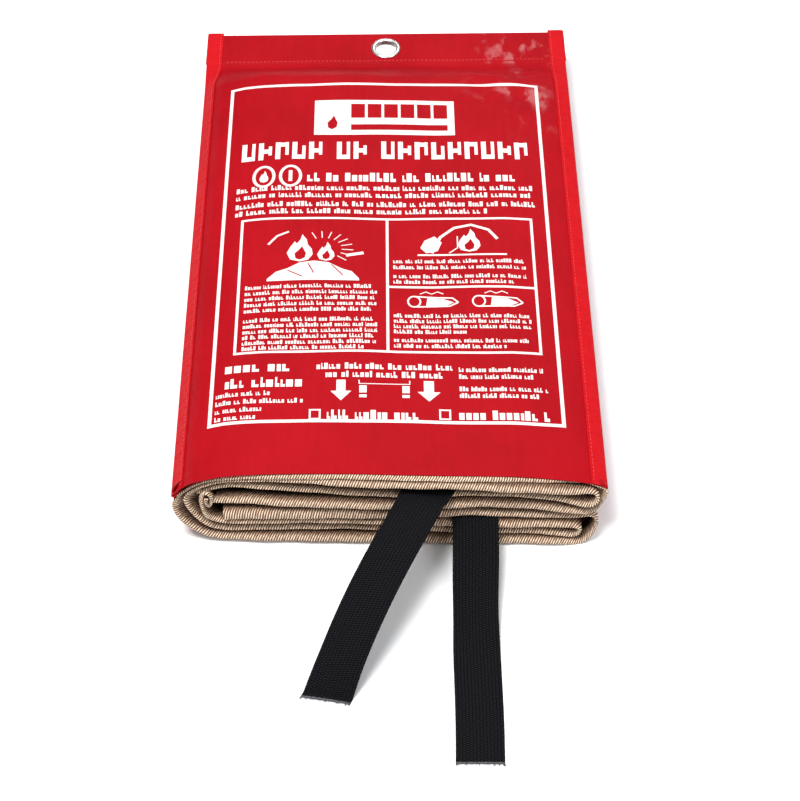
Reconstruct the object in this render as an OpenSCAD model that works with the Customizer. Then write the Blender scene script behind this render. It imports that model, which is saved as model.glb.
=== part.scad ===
// Fire blanket: a folded glass-fibre cloth in a red hanging pouch, with two pull tapes.
// It lies on its back, as on a table. Millimetres. The origin is under the middle of the
// pouch's back; +X is to its right, +Y runs from the mouth to the eyelet, +Z is up.

/* [Pouch] */
// Width over the two edge bindings
pouch_w = 278; // [274:1:290]
// Length from the mouth to the top edge
pouch_l = 442; // [438:1:460]
// Height of the front panel at the mouth
mouth_h = 60; // [60:1:64]
// Height of the sewn hem above the surface
hem_z = 34; // [28:1:40]
// Depth of the flat hem that carries the eyelet
hem_depth = 32; // [28:1:34]
// Thickness of the pouch fabric
fabric_t = 0.6; // [0.4:0.1:0.6]
// Width of the edge binding on the front
binding_w = 11; // [9:0.5:12]
// Height of the left binding's free edge at the mouth
left_edge_z = 38.5; // [36:0.5:42]
// Height of the right binding's free edge at the mouth
right_edge_z = 44.5; // [42:0.5:46]

/* [Eyelet] */
// Radius of the hanging hole
eyelet_r = 8; // [7:0.5:9]
// Outer radius of the eyelet's flange
flange_r = 11.25; // [11:0.25:13]
// Distance from the top edge to the hole's centre
eyelet_inset = 17; // [14:0.5:18]

/* [Blanket] */
// Height of the folded stack at its front
stack_h = 58; // [56:0.5:58]
// Depth of the stack, a quarter of the cloth's length
stack_d = 375; // [360:1:375]
// How far the stack stands out of the mouth
overhang = 8; // [4:1:12]
// Height of the stack's back as a share of its front
rear_share = 0.86; // [0.8:0.01:0.95]
// Thickness of one folded strip of four layers
strip_t = 12.6; // [12:0.1:12.6]
// Extra width of the folds in front of the mouth, each side
flare = 6.5; // [0:0.5:7]

/* [Pull tapes] */
// Width of the webbing
tape_w = 29.5; // [25:0.5:30]
// Thickness of the webbing
tape_t = 1.5; // [1.2:0.1:1.6]
// Length of webbing sewn in between the folds
sewn_l = 60; // [40:1:70]
// How far each tape lifts, in degrees, to draw the model lifted
tape_lift = 0; // [0:5:80]
// How far the blanket is drawn out of the pouch
drawn_out = 0; // [0:10:400]

/* [Print] */
// Width of the printed border line
line_w = 2.4; // [2:0.1:3]
// Thickness of the ink, drawn thick enough to see
ink_t = 0.15; // [0.1:0.05:0.2]

/* [Hidden] */

red = "#c8141e";
thread_red = "#e0303a";
nickel = "#c9cbd0";
glass_cloth = "#d2b98c";
webbing = "#1b1b1d";
ink_white = "#f4efe8";

gap = 0.05;                                 // air between layers that lie on each other
thread_t = 0.3;                             // thickness of a seam's thread
half = pouch_w / 2;                         // free edge of each binding, before its own round
seam_x = half - 1.35;                       // free edge of the panels inside the binding
flange_tilt = 50;                           // slope of the sewn edge down the stack's side
stack_end = stack_d - overhang;             // back of the stack, measured from the mouth
closing_start = stack_end + 5;              // here the panels begin to draw together
hem_start = pouch_l - hem_depth;
closing_l = hem_start - 2 - closing_start;
crown_power = [18, 30];                     // how square its left and right shoulders are
closing_steps = 10;
crown_steps = 12;
corner_steps = 8;
under_left = [31, 29.7];                    // corner radii under the stack, left and right
under_right = [18, 18];
floor_z = fabric_t / 2;                     // middle of the back panel where it lies flat

// Stations along the pouch, from the mouth: taper, closing stretch, hem
STATIONS = concat([for (i = [0:5]) closing_start * i / 5],
                  [for (i = [1:closing_steps]) closing_start + closing_l * i / closing_steps],
                  [hem_start, pouch_l]);

function clamp01(t) = min(1, max(0, t));
function ease(t) = let (c = clamp01(t)) c * c * (3 - 2 * c);
function mix(a, b, t) = a + (b - a) * t;
function sgn(x) = x < 0 ? -1 : 1;

// Share of the full height left at y: the stack thins towards its back
function thin(y) = mix(1, rear_share, clamp01((y + overhang) / stack_d));
// 1 where the pouch is full, 0 where the two panels lie flat together
function full(y) = 1 - ease((y - closing_start) / closing_l);
function in_hem(y) = y >= hem_start;
// Each panel is doubled in the hem
function layer_t(y) = in_hem(y) ? 2 * fabric_t : fabric_t;
function layer_off(y) = layer_t(y) / 2 + gap;
function tilt(y) = flange_tilt * full(y);

// The sewn edge, where both panels lie together inside the binding.
// side is -1 for the left and 1 for the right; along runs from its root, 0, to its free edge, 1;
// off is the distance to the outside of its middle.
function edge_z(side, y) = mix(hem_z, (side < 0 ? left_edge_z : right_edge_z) * thin(y), full(y));
function flange(side, y, along, off) =
    let (back = (1 - along) * (binding_w - 1), a = tilt(y))
    [side * (seam_x - back * cos(a) + off * sin(a)), edge_z(side, y) + back * sin(a) + off * cos(a)];

function crown_mid(y) = mix(hem_z + layer_off(y), (mouth_h - fabric_t / 2) * thin(y), full(y));
// Middle of the front panel over x
function crown(x, y) =
    let (root = flange(sgn(x), y, 0, layer_off(y)))
    crown_mid(y) - (crown_mid(y) - root[1]) * pow(abs(x / root[0]), crown_power[x < 0 ? 0 : 1]);

function front_line(y) = concat(
    [flange(-1, y, 1, layer_off(y))],
    [for (i = [-crown_steps:crown_steps])
        let (x = flange(sgn(i), y, 0, layer_off(y))[0] * sin(90 * abs(i) / crown_steps))
        [x, crown(x, y)]],
    [flange(1, y, 1, layer_off(y))]);

// One corner of the back panel, from the floor up the stack's side
function under_corner(side, y) =
    let (r = side < 0 ? under_left : under_right, cx = seam_x - 6.65 - r[0])
    [for (i = [0:corner_steps])
        let (a = 90 * i / corner_steps,
             up = floor_z + r[1] * (1 - cos(a)) * thin(y),
             flat_x = mix(cx, seam_x - binding_w - 0.5, i / corner_steps))
        [side * mix(flat_x, cx + r[0] * sin(a), full(y)), mix(hem_z - layer_off(y), up, full(y))]];
function turned(list) = [for (i = [len(list) - 1:-1:0]) list[i]];

function back_line(y) = concat(
    [flange(-1, y, 1, -layer_off(y)), flange(-1, y, 0, -layer_off(y))],
    turned(under_corner(-1, y)), under_corner(1, y),
    [flange(1, y, 0, -layer_off(y)), flange(1, y, 1, -layer_off(y))]);

// Unit vector at right angles to a step from a to b
function side_of(a, b) = let (d = b - a) [-d[1], d[0]] / norm(d);
// Point i of a line moved sideways by off, mitred at the bends
function moved(line, i, off) =
    let (n1 = side_of(line[max(0, i - 1)], line[max(1, i)]),
         n2 = side_of(line[min(len(line) - 2, i)], line[min(len(line) - 1, i + 1)]),
         n = n1 + n2)
    line[i] + n * (2 * off / (n * n));

// The four corners of a quad, begun one corner on to split it along its other diagonal
function begun(q, on) = [for (c = [0:3]) q[(c + on) % 4]];

// A strip of thickness t laid along one middle line at each station. Both of its faces are
// split along the same diagonals; crossed says which of its columns use the other ones.
module strip(lines, ys, ts, crossed = []) {
    k = len(lines[0]);
    m = len(ys);
    points = [for (j = [0:m - 1], i = [0:k - 1], s = [1, -1])
        let (p = moved(lines[j], i, s * ts[j] / 2)) [p[0], ys[j], p[1]]];
    function at(j, i, s) = 2 * (j * k + i) + s;
    sides = [for (j = [0:m - 2], i = [0:k - 2], s = [0, 1])
        begun(s == 0 ? [at(j, i, 0), at(j, i + 1, 0), at(j + 1, i + 1, 0), at(j + 1, i, 0)]
                     : [at(j + 1, i + 1, 1), at(j, i + 1, 1), at(j, i, 1), at(j + 1, i, 1)],
              crossed[i] == 1 ? 1 : 0)];
    rims = [for (j = [0:m - 2], e = [0, 1])
        e == 0 ? [at(j, 0, 1), at(j, 0, 0), at(j + 1, 0, 0), at(j + 1, 0, 1)]
               : [at(j, k - 1, 0), at(j, k - 1, 1), at(j + 1, k - 1, 1), at(j + 1, k - 1, 0)]];
    ends = [for (i = [0:k - 2], e = [0, 1])
        e == 0 ? [at(0, i, 1), at(0, i + 1, 1), at(0, i + 1, 0), at(0, i, 0)]
               : [at(m - 1, i, 0), at(m - 1, i + 1, 0), at(m - 1, i + 1, 1), at(m - 1, i, 1)]];
    faces = [for (q = concat(sides, rims, ends), c = [1, 2]) [q[0], q[c], q[c + 1]]];
    polyhedron(points, faces, convexity = 10);
}

// The mouth is at y = 0 in every measure above; the part's origin is at the pouch's middle
module from_mouth() { translate([0, -pouch_l / 2, 0]) children(); }

module eyelet_hole() {
    translate([0, pouch_l - eyelet_inset, hem_z])
        cylinder(r = eyelet_r + 0.65, h = 12, center = true, $fn = 64);
}

module pouch_front_panel() {
    color(red) from_mouth() difference() {
        strip([for (y = STATIONS) front_line(y)], STATIONS, [for (y = STATIONS) layer_t(y)]);
        eyelet_hole();
    }
}

module pouch_back_panel() {
    color(red) from_mouth() difference() {
        strip([for (y = STATIONS) back_line(y)], STATIONS, [for (y = STATIONS) layer_t(y)]);
        eyelet_hole();
    }
}

// Middle of the binding, measured out from the middle of the sewn edge
function binding_off(y) = layer_off(y) + layer_t(y) / 2 + 4 * gap + fabric_t / 2;
// A tape folded round the sewn edge: a wide leg on the front, a narrow one behind
function binding_line(side, y) =
    let (r = binding_off(y), a = tilt(y), c = flange(side, y, 1, 0))
    concat([flange(side, y, 0.02, r)],
           [for (b = [90:-30:-90])
               c + r * [side * (cos(b) * cos(a) + sin(b) * sin(a)), sin(b) * cos(a) - cos(b) * sin(a)]],
           [flange(side, y, 0.6, -r)]);

BINDING_STATIONS = concat([-0.5], [for (i = [1:len(STATIONS) - 2]) STATIONS[i]], [pouch_l + 1.8]);

function clamp_y(y) = min(pouch_l, max(0, y));
front_columns = [1, 1, 1, 1, 0, 0, 0, 0];     // of a binding's eight, so that it fits the panels
module edge_binding(side) {
    lines = [for (y = BINDING_STATIONS) binding_line(side, clamp_y(y))];
    color(red) from_mouth()
        strip([for (l = lines) side < 0 ? l : turned(l)], BINDING_STATIONS,
              [for (y = BINDING_STATIONS) fabric_t], side < 0 ? front_columns : turned(front_columns));
}

// The thread that sews each binding down, near its inner edge
module binding_stitching(side) {
    lines = [for (y = STATIONS)
        let (r = binding_off(y) + fabric_t / 2 + 4 * gap + thread_t / 2)
        [flange(side, y, 0.30, r), flange(side, y, 0.22, r)]];
    color(thread_red) from_mouth()
        strip([for (l = lines) side < 0 ? l : turned(l)], STATIONS, [for (y = STATIONS) thread_t]);
}

// One row of thread across the hem, seen on the front and on the back
module top_hem_stitching() {
    row_l = 2 * (seam_x - binding_w - 3);
    color(thread_red) from_mouth()
        for (s = [-1, 1])
            translate([0, hem_start + 1.2, hem_z + s * (2 * layer_off(pouch_l) + thread_t / 2)])
                cube([row_l, 0.8, thread_t], center = true);
}

module eyelet_barrel() {
    top = 2 * layer_off(pouch_l);
    color(nickel) from_mouth() translate([0, pouch_l - eyelet_inset, hem_z])
        rotate_extrude($fn = 96) polygon([
            [eyelet_r, -top - 0.9], [eyelet_r, top + 0.5], [eyelet_r + 0.5, top + 0.95],
            [eyelet_r + 1.7, top + 1.05], [flange_r - 0.4, top + 0.8], [flange_r, top + 0.2],
            [flange_r - 0.1, top + gap], [eyelet_r + 0.6, top + gap], [eyelet_r + 0.6, -top - 0.9],
            [eyelet_r + 1.8, -top - 0.9], [eyelet_r + 1.7, -top - 1.3], [eyelet_r + 0.6, -top - 1.5]]);
}

module eyelet_washer() {
    low = -2 * layer_off(pouch_l) - gap;
    color(nickel) from_mouth() translate([0, pouch_l - eyelet_inset, hem_z])
        rotate_extrude($fn = 96) polygon([
            [eyelet_r + 0.7, low], [flange_r, low], [flange_r, low - 0.3],
            [flange_r - 0.6, low - 0.7], [eyelet_r + 0.7, low - 0.7]]);
}

// A patch of ink that follows the front panel
module ink(x0, x1, y0, y1) {
    n = max(1, ceil((x1 - x0) / 8));
    ys = [y0, y1];
    lift = fabric_t / 2 + 0.2 + ink_t / 2;
    strip([for (y = ys) [for (i = [0:n]) let (x = mix(x0, x1, i / n)) [x, crown(x, y) + lift]]],
          ys, [ink_t, ink_t]);
}

module ink_frame(x0, x1, y0, y1, w) {
    ink(x0, x1, y0, y0 + w);
    ink(x0, x1, y1 - w, y1);
    ink(x0, x0 + w, y0 + w + gap, y1 - w - gap);
    ink(x1 - w, x1, y0 + w + gap, y1 - w - gap);
}

module front_print() {
    color(ink_white) from_mouth() {
        ink_frame(-115.5, 113.5, 36.5, 361, line_w);
        ink(-52, 52, 314, 346);                          // plate
        ink(-100, 104, 286, 303);                        // heading bar
        for (i = [0, 1]) ink(-106, 110, 244 - 17 * i, 255 - 17 * i);
        ink_frame(-102, 102, 98, 216, 1.8);              // picture boxes
        ink(0, 1.8, 100, 214);
        ink(2, 100, 156, 157.8);
        for (s = [-1, 1]) ink(-20 + 33 * s, -10 + 33 * s, 62, 80);
    }
}

// Middle line of the folded strip seen from the front: free end, turn, top pass, round the
// left side, bottom pass, turn, free end
pass_low = 1 + strip_t / 2;
pass_high = 1 + stack_h - strip_t / 2;
turn_r = [7.35, 7.55];                      // middle radius of the lower and upper right turns
turn_x = [110, 115.5];
wrap_x = -100;
wrap_r = (pass_high - pass_low) / 2;
free_x = -104;
function bow(cx, cz, r, a0, a1, n) =
    [for (i = [0:n]) let (a = mix(a0, a1, i / n)) [cx + r * cos(a), cz + r * sin(a)]];
function folded(out) = concat(
    [[free_x, pass_high - 2 * turn_r[1]]],
    bow(turn_x[1] + out, pass_high - turn_r[1], turn_r[1], -90, 90, 8),
    bow(wrap_x - out, pass_low + wrap_r, wrap_r, 90, 270, 14),
    bow(turn_x[0] + out, pass_low + turn_r[0], turn_r[0], -90, 90, 8),
    [[free_x, pass_low + 2 * turn_r[0]]]);
function settled(line, y) = [for (p = line) [p[0], 1 + (p[1] - 1) * thin(y)]];

BLANKET_STATIONS = [-overhang, 0.75 * -overhang, 0.3 * -overhang, 0.1 * -overhang, stack_end - 3, stack_end];
BLANKET_FLARE = [0.75, 1, 0.4, 0, 0, -0.1];
// Lays its children on a plane between the folds, which sinks as the stack thins
module sloped(x, y, z, turn) {
    sink = atan(z * (1 - rear_share) / stack_d);
    translate([x, y, z]) rotate([-sink, 0, 0]) rotate([0, 0, turn]) children();
}

module glass_fibre_blanket() {
    right_exit = right_tape[0];
    color(glass_cloth) drawn() from_mouth() difference() {
        strip([for (i = [0:len(BLANKET_STATIONS) - 1])
                  settled(folded(flare * BLANKET_FLARE[i]), BLANKET_STATIONS[i])],
              BLANKET_STATIONS, [for (y = BLANKET_STATIONS) strip_t * thin(y)]);
        sloped(right_exit[0], right_exit[1], right_exit[2], 0)
            translate([0, sewn_l / 2 - 4, 0]) cube([tape_w + 4, sewn_l + 20, tape_t + 1.1], center = true);
    }
}
module drawn() { translate([0, -drawn_out, 0]) children(); }

// Each tape: where it leaves the folds, its turn in plan, and where its free run begins
left_tape = [[23, -5, 45.1], 27.4, 12.5];
right_tape = [[55, -5, 22], 0.8, 4.8];
droop_start = 30;
left_run_l = 133;
right_touch = 95;
right_run_l = 165;
rest_z = tape_t / 2 + 0.1;
fold_bead = 0.08;                           // how far the fold line's bead stands proud
function left_run_z(d) =
    mix(left_tape[0][2], rest_z + 0.3, pow(clamp01((d - droop_start) / (left_run_l - droop_start)), 2));
function right_run_z(d) = mix(right_tape[0][2], rest_z, ease(d / right_touch));

// Outline of a tape seen from its side, along points [distance from the exit, height],
// with a round bead along its fold line
module webbing_run(points) {
    n = len(points) - 1;
    rotate([90, 0, 90]) linear_extrude(tape_w, center = true)
        polygon(concat([for (i = [0:n]) moved(points, i, tape_t / 2)],
                       [for (i = [n:-1:0]) moved(points, i, -tape_t / 2)]));
    translate([0, points[0][0], points[0][1]]) rotate([0, 90, 0])
        cylinder(r = tape_t / 2 + fold_bead, h = tape_w, center = true, $fn = 48);
}

module at_exit(tape) { translate([tape[0][0], tape[0][1], 0]) rotate([0, 0, 180 - tape[1]]) children(); }

module free_tape(tape, points) {
    color(webbing) drawn() from_mouth() at_exit(tape)
        translate([0, points[0][0], points[0][1]]) rotate([tape_lift, 0, 0])
            translate([0, -points[0][0], -points[0][1]]) webbing_run(points);
}

// The still end of a tape, from just behind its fold line to its sewn end between the folds
module sewn_tape(tape) {
    front = tape[2] - tape_t / 2 - fold_bead - 0.4;
    color(webbing) drawn() from_mouth() sloped(tape[0][0], tape[0][1], tape[0][2], -tape[1])
        translate([0, (sewn_l - front) / 2, 0]) cube([tape_w, sewn_l + front, tape_t], center = true);
}

// Thread in a box with a cross, on top of the sewn end
module box_stitch(tape) {
    box = [22, 34];
    diagonal = norm(box) - 1.6;
    color(thread_red) drawn() from_mouth() sloped(tape[0][0], tape[0][1], tape[0][2], -tape[1])
        translate([0, sewn_l - 6 - box[1] / 2, tape_t / 2 + 0.12]) {
            for (s = [-1, 1]) {
                translate([s * box[0] / 2, 0, 0]) cube([0.8, box[1], 0.2], center = true);
                translate([0, s * box[1] / 2, 0]) cube([box[0] + 0.8, 0.8, 0.2], center = true);
                rotate([0, 0, s * atan(box[0] / box[1])]) cube([0.8, diagonal, 0.2], center = true);
            }
        }
}

LEFT_POINTS = [for (i = [0:10]) let (d = mix(left_tape[2], left_run_l, i / 10)) [d, left_run_z(d)]];
RIGHT_POINTS = concat([for (i = [0:9]) let (d = mix(right_tape[2], right_touch, i / 9)) [d, right_run_z(d)]],
                      [[right_run_l, rest_z]]);

pouch_front_panel();
pouch_back_panel();
edge_binding(-1);  // left_edge_binding
edge_binding(1);  // right_edge_binding
binding_stitching(-1);  // left_binding_stitching
binding_stitching(1);  // right_binding_stitching
top_hem_stitching();
eyelet_barrel();
eyelet_washer();
front_print();
glass_fibre_blanket();
sewn_tape(left_tape);  // left_tape_sewn_end
sewn_tape(right_tape);  // right_tape_sewn_end
box_stitch(left_tape);  // left_tape_box_stitch
box_stitch(right_tape);  // right_tape_box_stitch
free_tape(left_tape, LEFT_POINTS);  // left_pull_tape
free_tape(right_tape, RIGHT_POINTS);  // right_pull_tape
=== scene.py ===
"""Fire blanket: a folded glass-fibre cloth in a red hanging pouch with two pull tapes.

Shapes are worked out in millimetres with y = 0 at the pouch's mouth, and put into the
part's frame, in metres, when a mesh is made.
"""

import logging
import math
from dataclasses import dataclass, field
from enum import Enum
from typing import Iterable, Sequence

import bpy
import numpy as np
from mathutils import Matrix, Vector

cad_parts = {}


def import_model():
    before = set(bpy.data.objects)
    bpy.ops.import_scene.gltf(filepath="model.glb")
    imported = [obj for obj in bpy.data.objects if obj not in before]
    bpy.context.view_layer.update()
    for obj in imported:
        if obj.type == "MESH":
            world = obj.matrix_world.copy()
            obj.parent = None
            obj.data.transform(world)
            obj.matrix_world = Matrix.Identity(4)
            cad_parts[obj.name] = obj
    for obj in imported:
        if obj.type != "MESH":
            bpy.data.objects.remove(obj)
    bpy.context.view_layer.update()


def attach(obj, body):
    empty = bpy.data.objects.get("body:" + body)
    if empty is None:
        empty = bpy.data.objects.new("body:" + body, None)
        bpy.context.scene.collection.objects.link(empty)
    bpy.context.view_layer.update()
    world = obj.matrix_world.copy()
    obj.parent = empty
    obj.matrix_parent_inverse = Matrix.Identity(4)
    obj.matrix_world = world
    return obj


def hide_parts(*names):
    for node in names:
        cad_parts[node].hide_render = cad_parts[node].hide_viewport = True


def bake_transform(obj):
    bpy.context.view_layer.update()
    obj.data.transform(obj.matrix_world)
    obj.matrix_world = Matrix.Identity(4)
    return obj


LOG = logging.getLogger("fire_blanket")
MOUTH_Y = -221.0  # the mouth's place in the part's frame, mm
UV = "cloth_uv"
RECESS = "recess"  # how far inside a crease a point of the cloth lies, mm; the cloth's colour darkens with it as painted shade
Colour = tuple[float, float, float]
Array = np.ndarray


# ---------------------------------------------------------------- numbers

def clamp01(t: Array) -> Array:
    """Limits values to 0..1."""
    return np.clip(t, 0.0, 1.0)


def ease(t: Array) -> Array:
    """Smooth step from 0 to 1."""
    c = clamp01(t)
    return c * c * (3 - 2 * c)


def mix(a: Array, b: Array, t: Array) -> Array:
    """Straight blend from a to b."""
    return a + (b - a) * t


def hump(t: Array, centre: float, width: float) -> Array:
    """A bell of height 1 round a centre."""
    return np.exp(-(((t - centre) / width) ** 2))


def smooth_line(knots: Sequence[tuple[float, float]], soft: float, step: float = 0.5) -> tuple[Array, Array]:
    """Turns a few knots into a finely sampled, rounded line.

    Args:
        knots: (x, value) pairs in rising x.
        soft: width of the rounding, in the units of x.
        step: spacing of the samples.

    Returns:
        The x of the samples, and their values.
    """
    kx, kz = np.array(knots, float).T
    pad = 4 * soft
    x = np.arange(kx[0] - pad, kx[-1] + pad + step, step)
    slope0 = (kz[1] - kz[0]) / (kx[1] - kx[0])
    slope1 = (kz[-1] - kz[-2]) / (kx[-1] - kx[-2])
    z = np.interp(x, kx, kz)
    z = np.where(x < kx[0], kz[0] + (x - kx[0]) * slope0, z)
    z = np.where(x > kx[-1], kz[-1] + (x - kx[-1]) * slope1, z)
    n = int(pad / step)
    bell = np.exp(-0.5 * (np.arange(-n, n + 1) * step / soft) ** 2)
    out = np.convolve(np.pad(z, n, mode="edge"), bell / bell.sum(), mode="valid")
    return x[n:-n], out[n:-n]


def to_frame(points: Array) -> Array:
    """Millimetres from the mouth to the part's frame in metres."""
    return (np.asarray(points, float) + np.array([0.0, MOUTH_Y, 0.0])) / 1000.0


# ---------------------------------------------------------------- meshes

class Build:
    """Makes Blender meshes from arrays of points."""

    @staticmethod
    def mesh(name: str, points: Array, faces: Array | list, uv: Array | None = None,
             sharp: float = 50.0) -> bpy.types.Object:
        """Makes a mesh object.

        Args:
            name: the piece's name.
            points: (n, 3) in millimetres from the mouth.
            faces: corner indices of each face.
            uv: (n, 2) cloth coordinates in metres, one for each point.
            sharp: edges sharper than this, in degrees, are not smoothed.

        Returns:
            The new object, linked to the scene.
        """
        mesh = bpy.data.meshes.new(name)
        mesh.from_pydata(to_frame(points).tolist(), [], [list(map(int, f)) for f in faces])
        if uv is not None:
            layer = mesh.uv_layers.new(name=UV)
            index = np.zeros(len(mesh.loops), np.int32)
            mesh.loops.foreach_get("vertex_index", index)
            layer.data.foreach_set("uv", np.asarray(uv, np.float32)[index].ravel())
        mesh.shade_smooth()
        mesh.set_sharp_from_angle(angle=math.radians(sharp))
        piece = bpy.data.objects.new(name, mesh)
        bpy.context.scene.collection.objects.link(piece)
        return piece

    @staticmethod
    def normals(grid: Array) -> Array:
        """Unit normals of a grid of points."""
        along = np.gradient(grid, axis=0)
        across = np.gradient(grid, axis=1)
        n = np.cross(across, along)
        return n / np.maximum(np.linalg.norm(n, axis=2, keepdims=True), 1e-9)

    @classmethod
    def sheet(cls, name: str, grid: Array, thick: Array | float, uv: Array,
              sharp: float = 50.0) -> bpy.types.Object:
        """Makes a closed sheet of cloth round a grid of middle points.

        Args:
            name: the piece's name.
            grid: (rows, columns, 3) middle points.
            thick: thickness, one number or one for each point.
            uv: (rows, columns, 2) cloth coordinates in metres.
            sharp: edges sharper than this, in degrees, are not smoothed.

        Returns:
            The new object.
        """
        rows, cols = grid.shape[:2]
        half = cls.normals(grid) * np.broadcast_to(np.asarray(thick, float), (rows, cols))[..., None] / 2
        points = np.concatenate([(grid + half).reshape(-1, 3), (grid - half).reshape(-1, 3)])
        index = np.arange(rows * cols).reshape(rows, cols)
        a, b, c, d = index[:-1, :-1], index[:-1, 1:], index[1:, 1:], index[1:, :-1]
        upper = np.stack([a, b, c, d], -1).reshape(-1, 4)
        lower = np.stack([d, c, b, a], -1).reshape(-1, 4) + rows * cols
        loop = np.concatenate([index[0, :-1], index[:-1, -1], index[-1, :0:-1], index[:0:-1, 0]])
        after = np.roll(loop, -1)
        low = rows * cols
        rim = np.stack([after, loop, loop + low, after + low], -1)
        both = np.concatenate([uv.reshape(-1, 2)] * 2)
        return cls.mesh(name, points, np.concatenate([upper, lower, rim]), both, sharp)

    @classmethod
    def lathe(cls, name: str, profile: Array, centre: Array, turns: int = 96) -> bpy.types.Object:
        """Turns a closed (radius, height) profile round a vertical axis."""
        angle = np.linspace(0, 2 * math.pi, turns, endpoint=False)
        k = len(profile)
        ring = np.stack([np.outer(np.cos(angle), profile[:, 0]), np.outer(np.sin(angle), profile[:, 0]),
                         np.broadcast_to(profile[:, 1], (turns, k))], -1) + centre
        i, j = np.meshgrid(np.arange(turns), np.arange(k), indexing="ij")
        i2, j2 = (i + 1) % turns, (j + 1) % k
        faces = np.stack([i * k + j, i2 * k + j, i2 * k + j2, i * k + j2], -1).reshape(-1, 4)
        run = np.concatenate([[0], np.cumsum(np.linalg.norm(np.diff(profile, axis=0), axis=1))])
        uv = np.stack([np.outer(angle, np.full(k, 0.01)), np.broadcast_to(run / 1000, (turns, k))], -1)
        return cls.mesh(name, ring.reshape(-1, 3), faces, uv.reshape(-1, 2), 70)

    @classmethod
    def stitches(cls, name: str, starts: Array, ends: Array, ups: Array, width: float = 0.55,
                 proud: float = 0.34) -> bpy.types.Object:
        """Makes a row of single stitches, each a small arched bead of thread.

        Args:
            name: the piece's name.
            starts: (n, 3) where each stitch comes out.
            ends: (n, 3) where each stitch goes in.
            ups: (n, 3) unit vectors out of the cloth.
            width: the thread's width.
            proud: how far the thread's middle stands out.

        Returns:
            The new object.
        """
        rings, sides = 7, 6
        t = np.linspace(0, 1, rings)
        body = np.sqrt(np.maximum(0.0, 1 - (2 * t - 1) ** 4))
        run = ends - starts
        side = np.cross(run, ups)
        side /= np.linalg.norm(side, axis=1, keepdims=True)
        a = np.linspace(0, 2 * math.pi, sides, endpoint=False)
        centre = starts[:, None] + run[:, None] * t[None, :, None] \
            + ups[:, None] * ((body * proud - 0.12)[None, :, None])
        swell = (0.35 + 0.65 * body) * width / 2
        ring = centre[:, :, None] + side[:, None, None] * (swell[:, None] * np.cos(a))[None, ..., None] \
            + ups[:, None, None] * (swell[:, None] * 0.8 * np.sin(a))[None, ..., None]
        n = len(starts)
        base = np.arange(n)[:, None, None] * rings * sides
        r, s = np.arange(rings - 1)[None, :, None], np.arange(sides)[None, None, :]
        s2 = (s + 1) % sides
        quads = np.stack([base + r * sides + s, base + r * sides + s2,
                          base + (r + 1) * sides + s2, base + (r + 1) * sides + s], -1).reshape(-1, 4)
        faces = [list(q) for q in quads]
        for i in range(n):
            first = i * rings * sides
            faces.append([first + k for k in range(sides)][::-1])
            faces.append([first + (rings - 1) * sides + k for k in range(sides)])
        lengths = np.linalg.norm(run, axis=1)[:, None, None] * t[None, :, None] + np.zeros((n, 1, sides))
        uv = np.stack([lengths / 1000, np.broadcast_to(a / 6000, lengths.shape)], -1)
        return cls.mesh(name, ring.reshape(-1, 3), faces, uv.reshape(-1, 2), 80)


# ---------------------------------------------------------------- shader graphs

class Value:
    """A socket whose arithmetic adds Math nodes."""

    def __init__(self, graph: "Graph", socket: bpy.types.NodeSocket) -> None:
        """Keeps the graph and the socket."""
        self.graph, self.socket = graph, socket

    def _math(self, operation: str, *others: "Value | float", swap: bool = False) -> "Value":
        """Adds one Math node with this value and others as its inputs."""
        parts = [self, *others]
        return self.graph.math(operation, *(parts[::-1] if swap else parts))

    def __add__(self, other: "Value | float") -> "Value":
        """Sum."""
        return self._math("ADD", other)

    __radd__ = __add__

    def __sub__(self, other: "Value | float") -> "Value":
        """Difference."""
        return self._math("SUBTRACT", other)

    def __rsub__(self, other: float) -> "Value":
        """Difference from a number."""
        return self._math("SUBTRACT", other, swap=True)

    def __mul__(self, other: "Value | float") -> "Value":
        """Product."""
        return self._math("MULTIPLY", other)

    __rmul__ = __mul__

    def __truediv__(self, other: "Value | float") -> "Value":
        """Quotient."""
        return self._math("DIVIDE", other)

    def __pow__(self, other: float) -> "Value":
        """Power."""
        return self._math("POWER", other)

    def __abs__(self) -> "Value":
        """Size without the sign."""
        return self._math("ABSOLUTE")

    def sin(self) -> "Value":
        """Sine of an angle in radians."""
        return self._math("SINE")

    def floor(self) -> "Value":
        """Whole number below."""
        return self._math("FLOOR")

    def at_most(self, other: "Value | float") -> "Value":
        """The smaller of two."""
        return self._math("MINIMUM", other)

    def at_least(self, other: "Value | float") -> "Value":
        """The larger of two."""
        return self._math("MAXIMUM", other)

    def between(self, low: float, high: float) -> "Value":
        """0 below low, 1 above high, smooth between them."""
        node = self.graph.node("ShaderNodeMapRange", {"interpolation_type": "SMOOTHSTEP"},
                               {"Value": self, "From Min": low, "From Max": high})
        return Value(self.graph, node.outputs["Result"])


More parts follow.
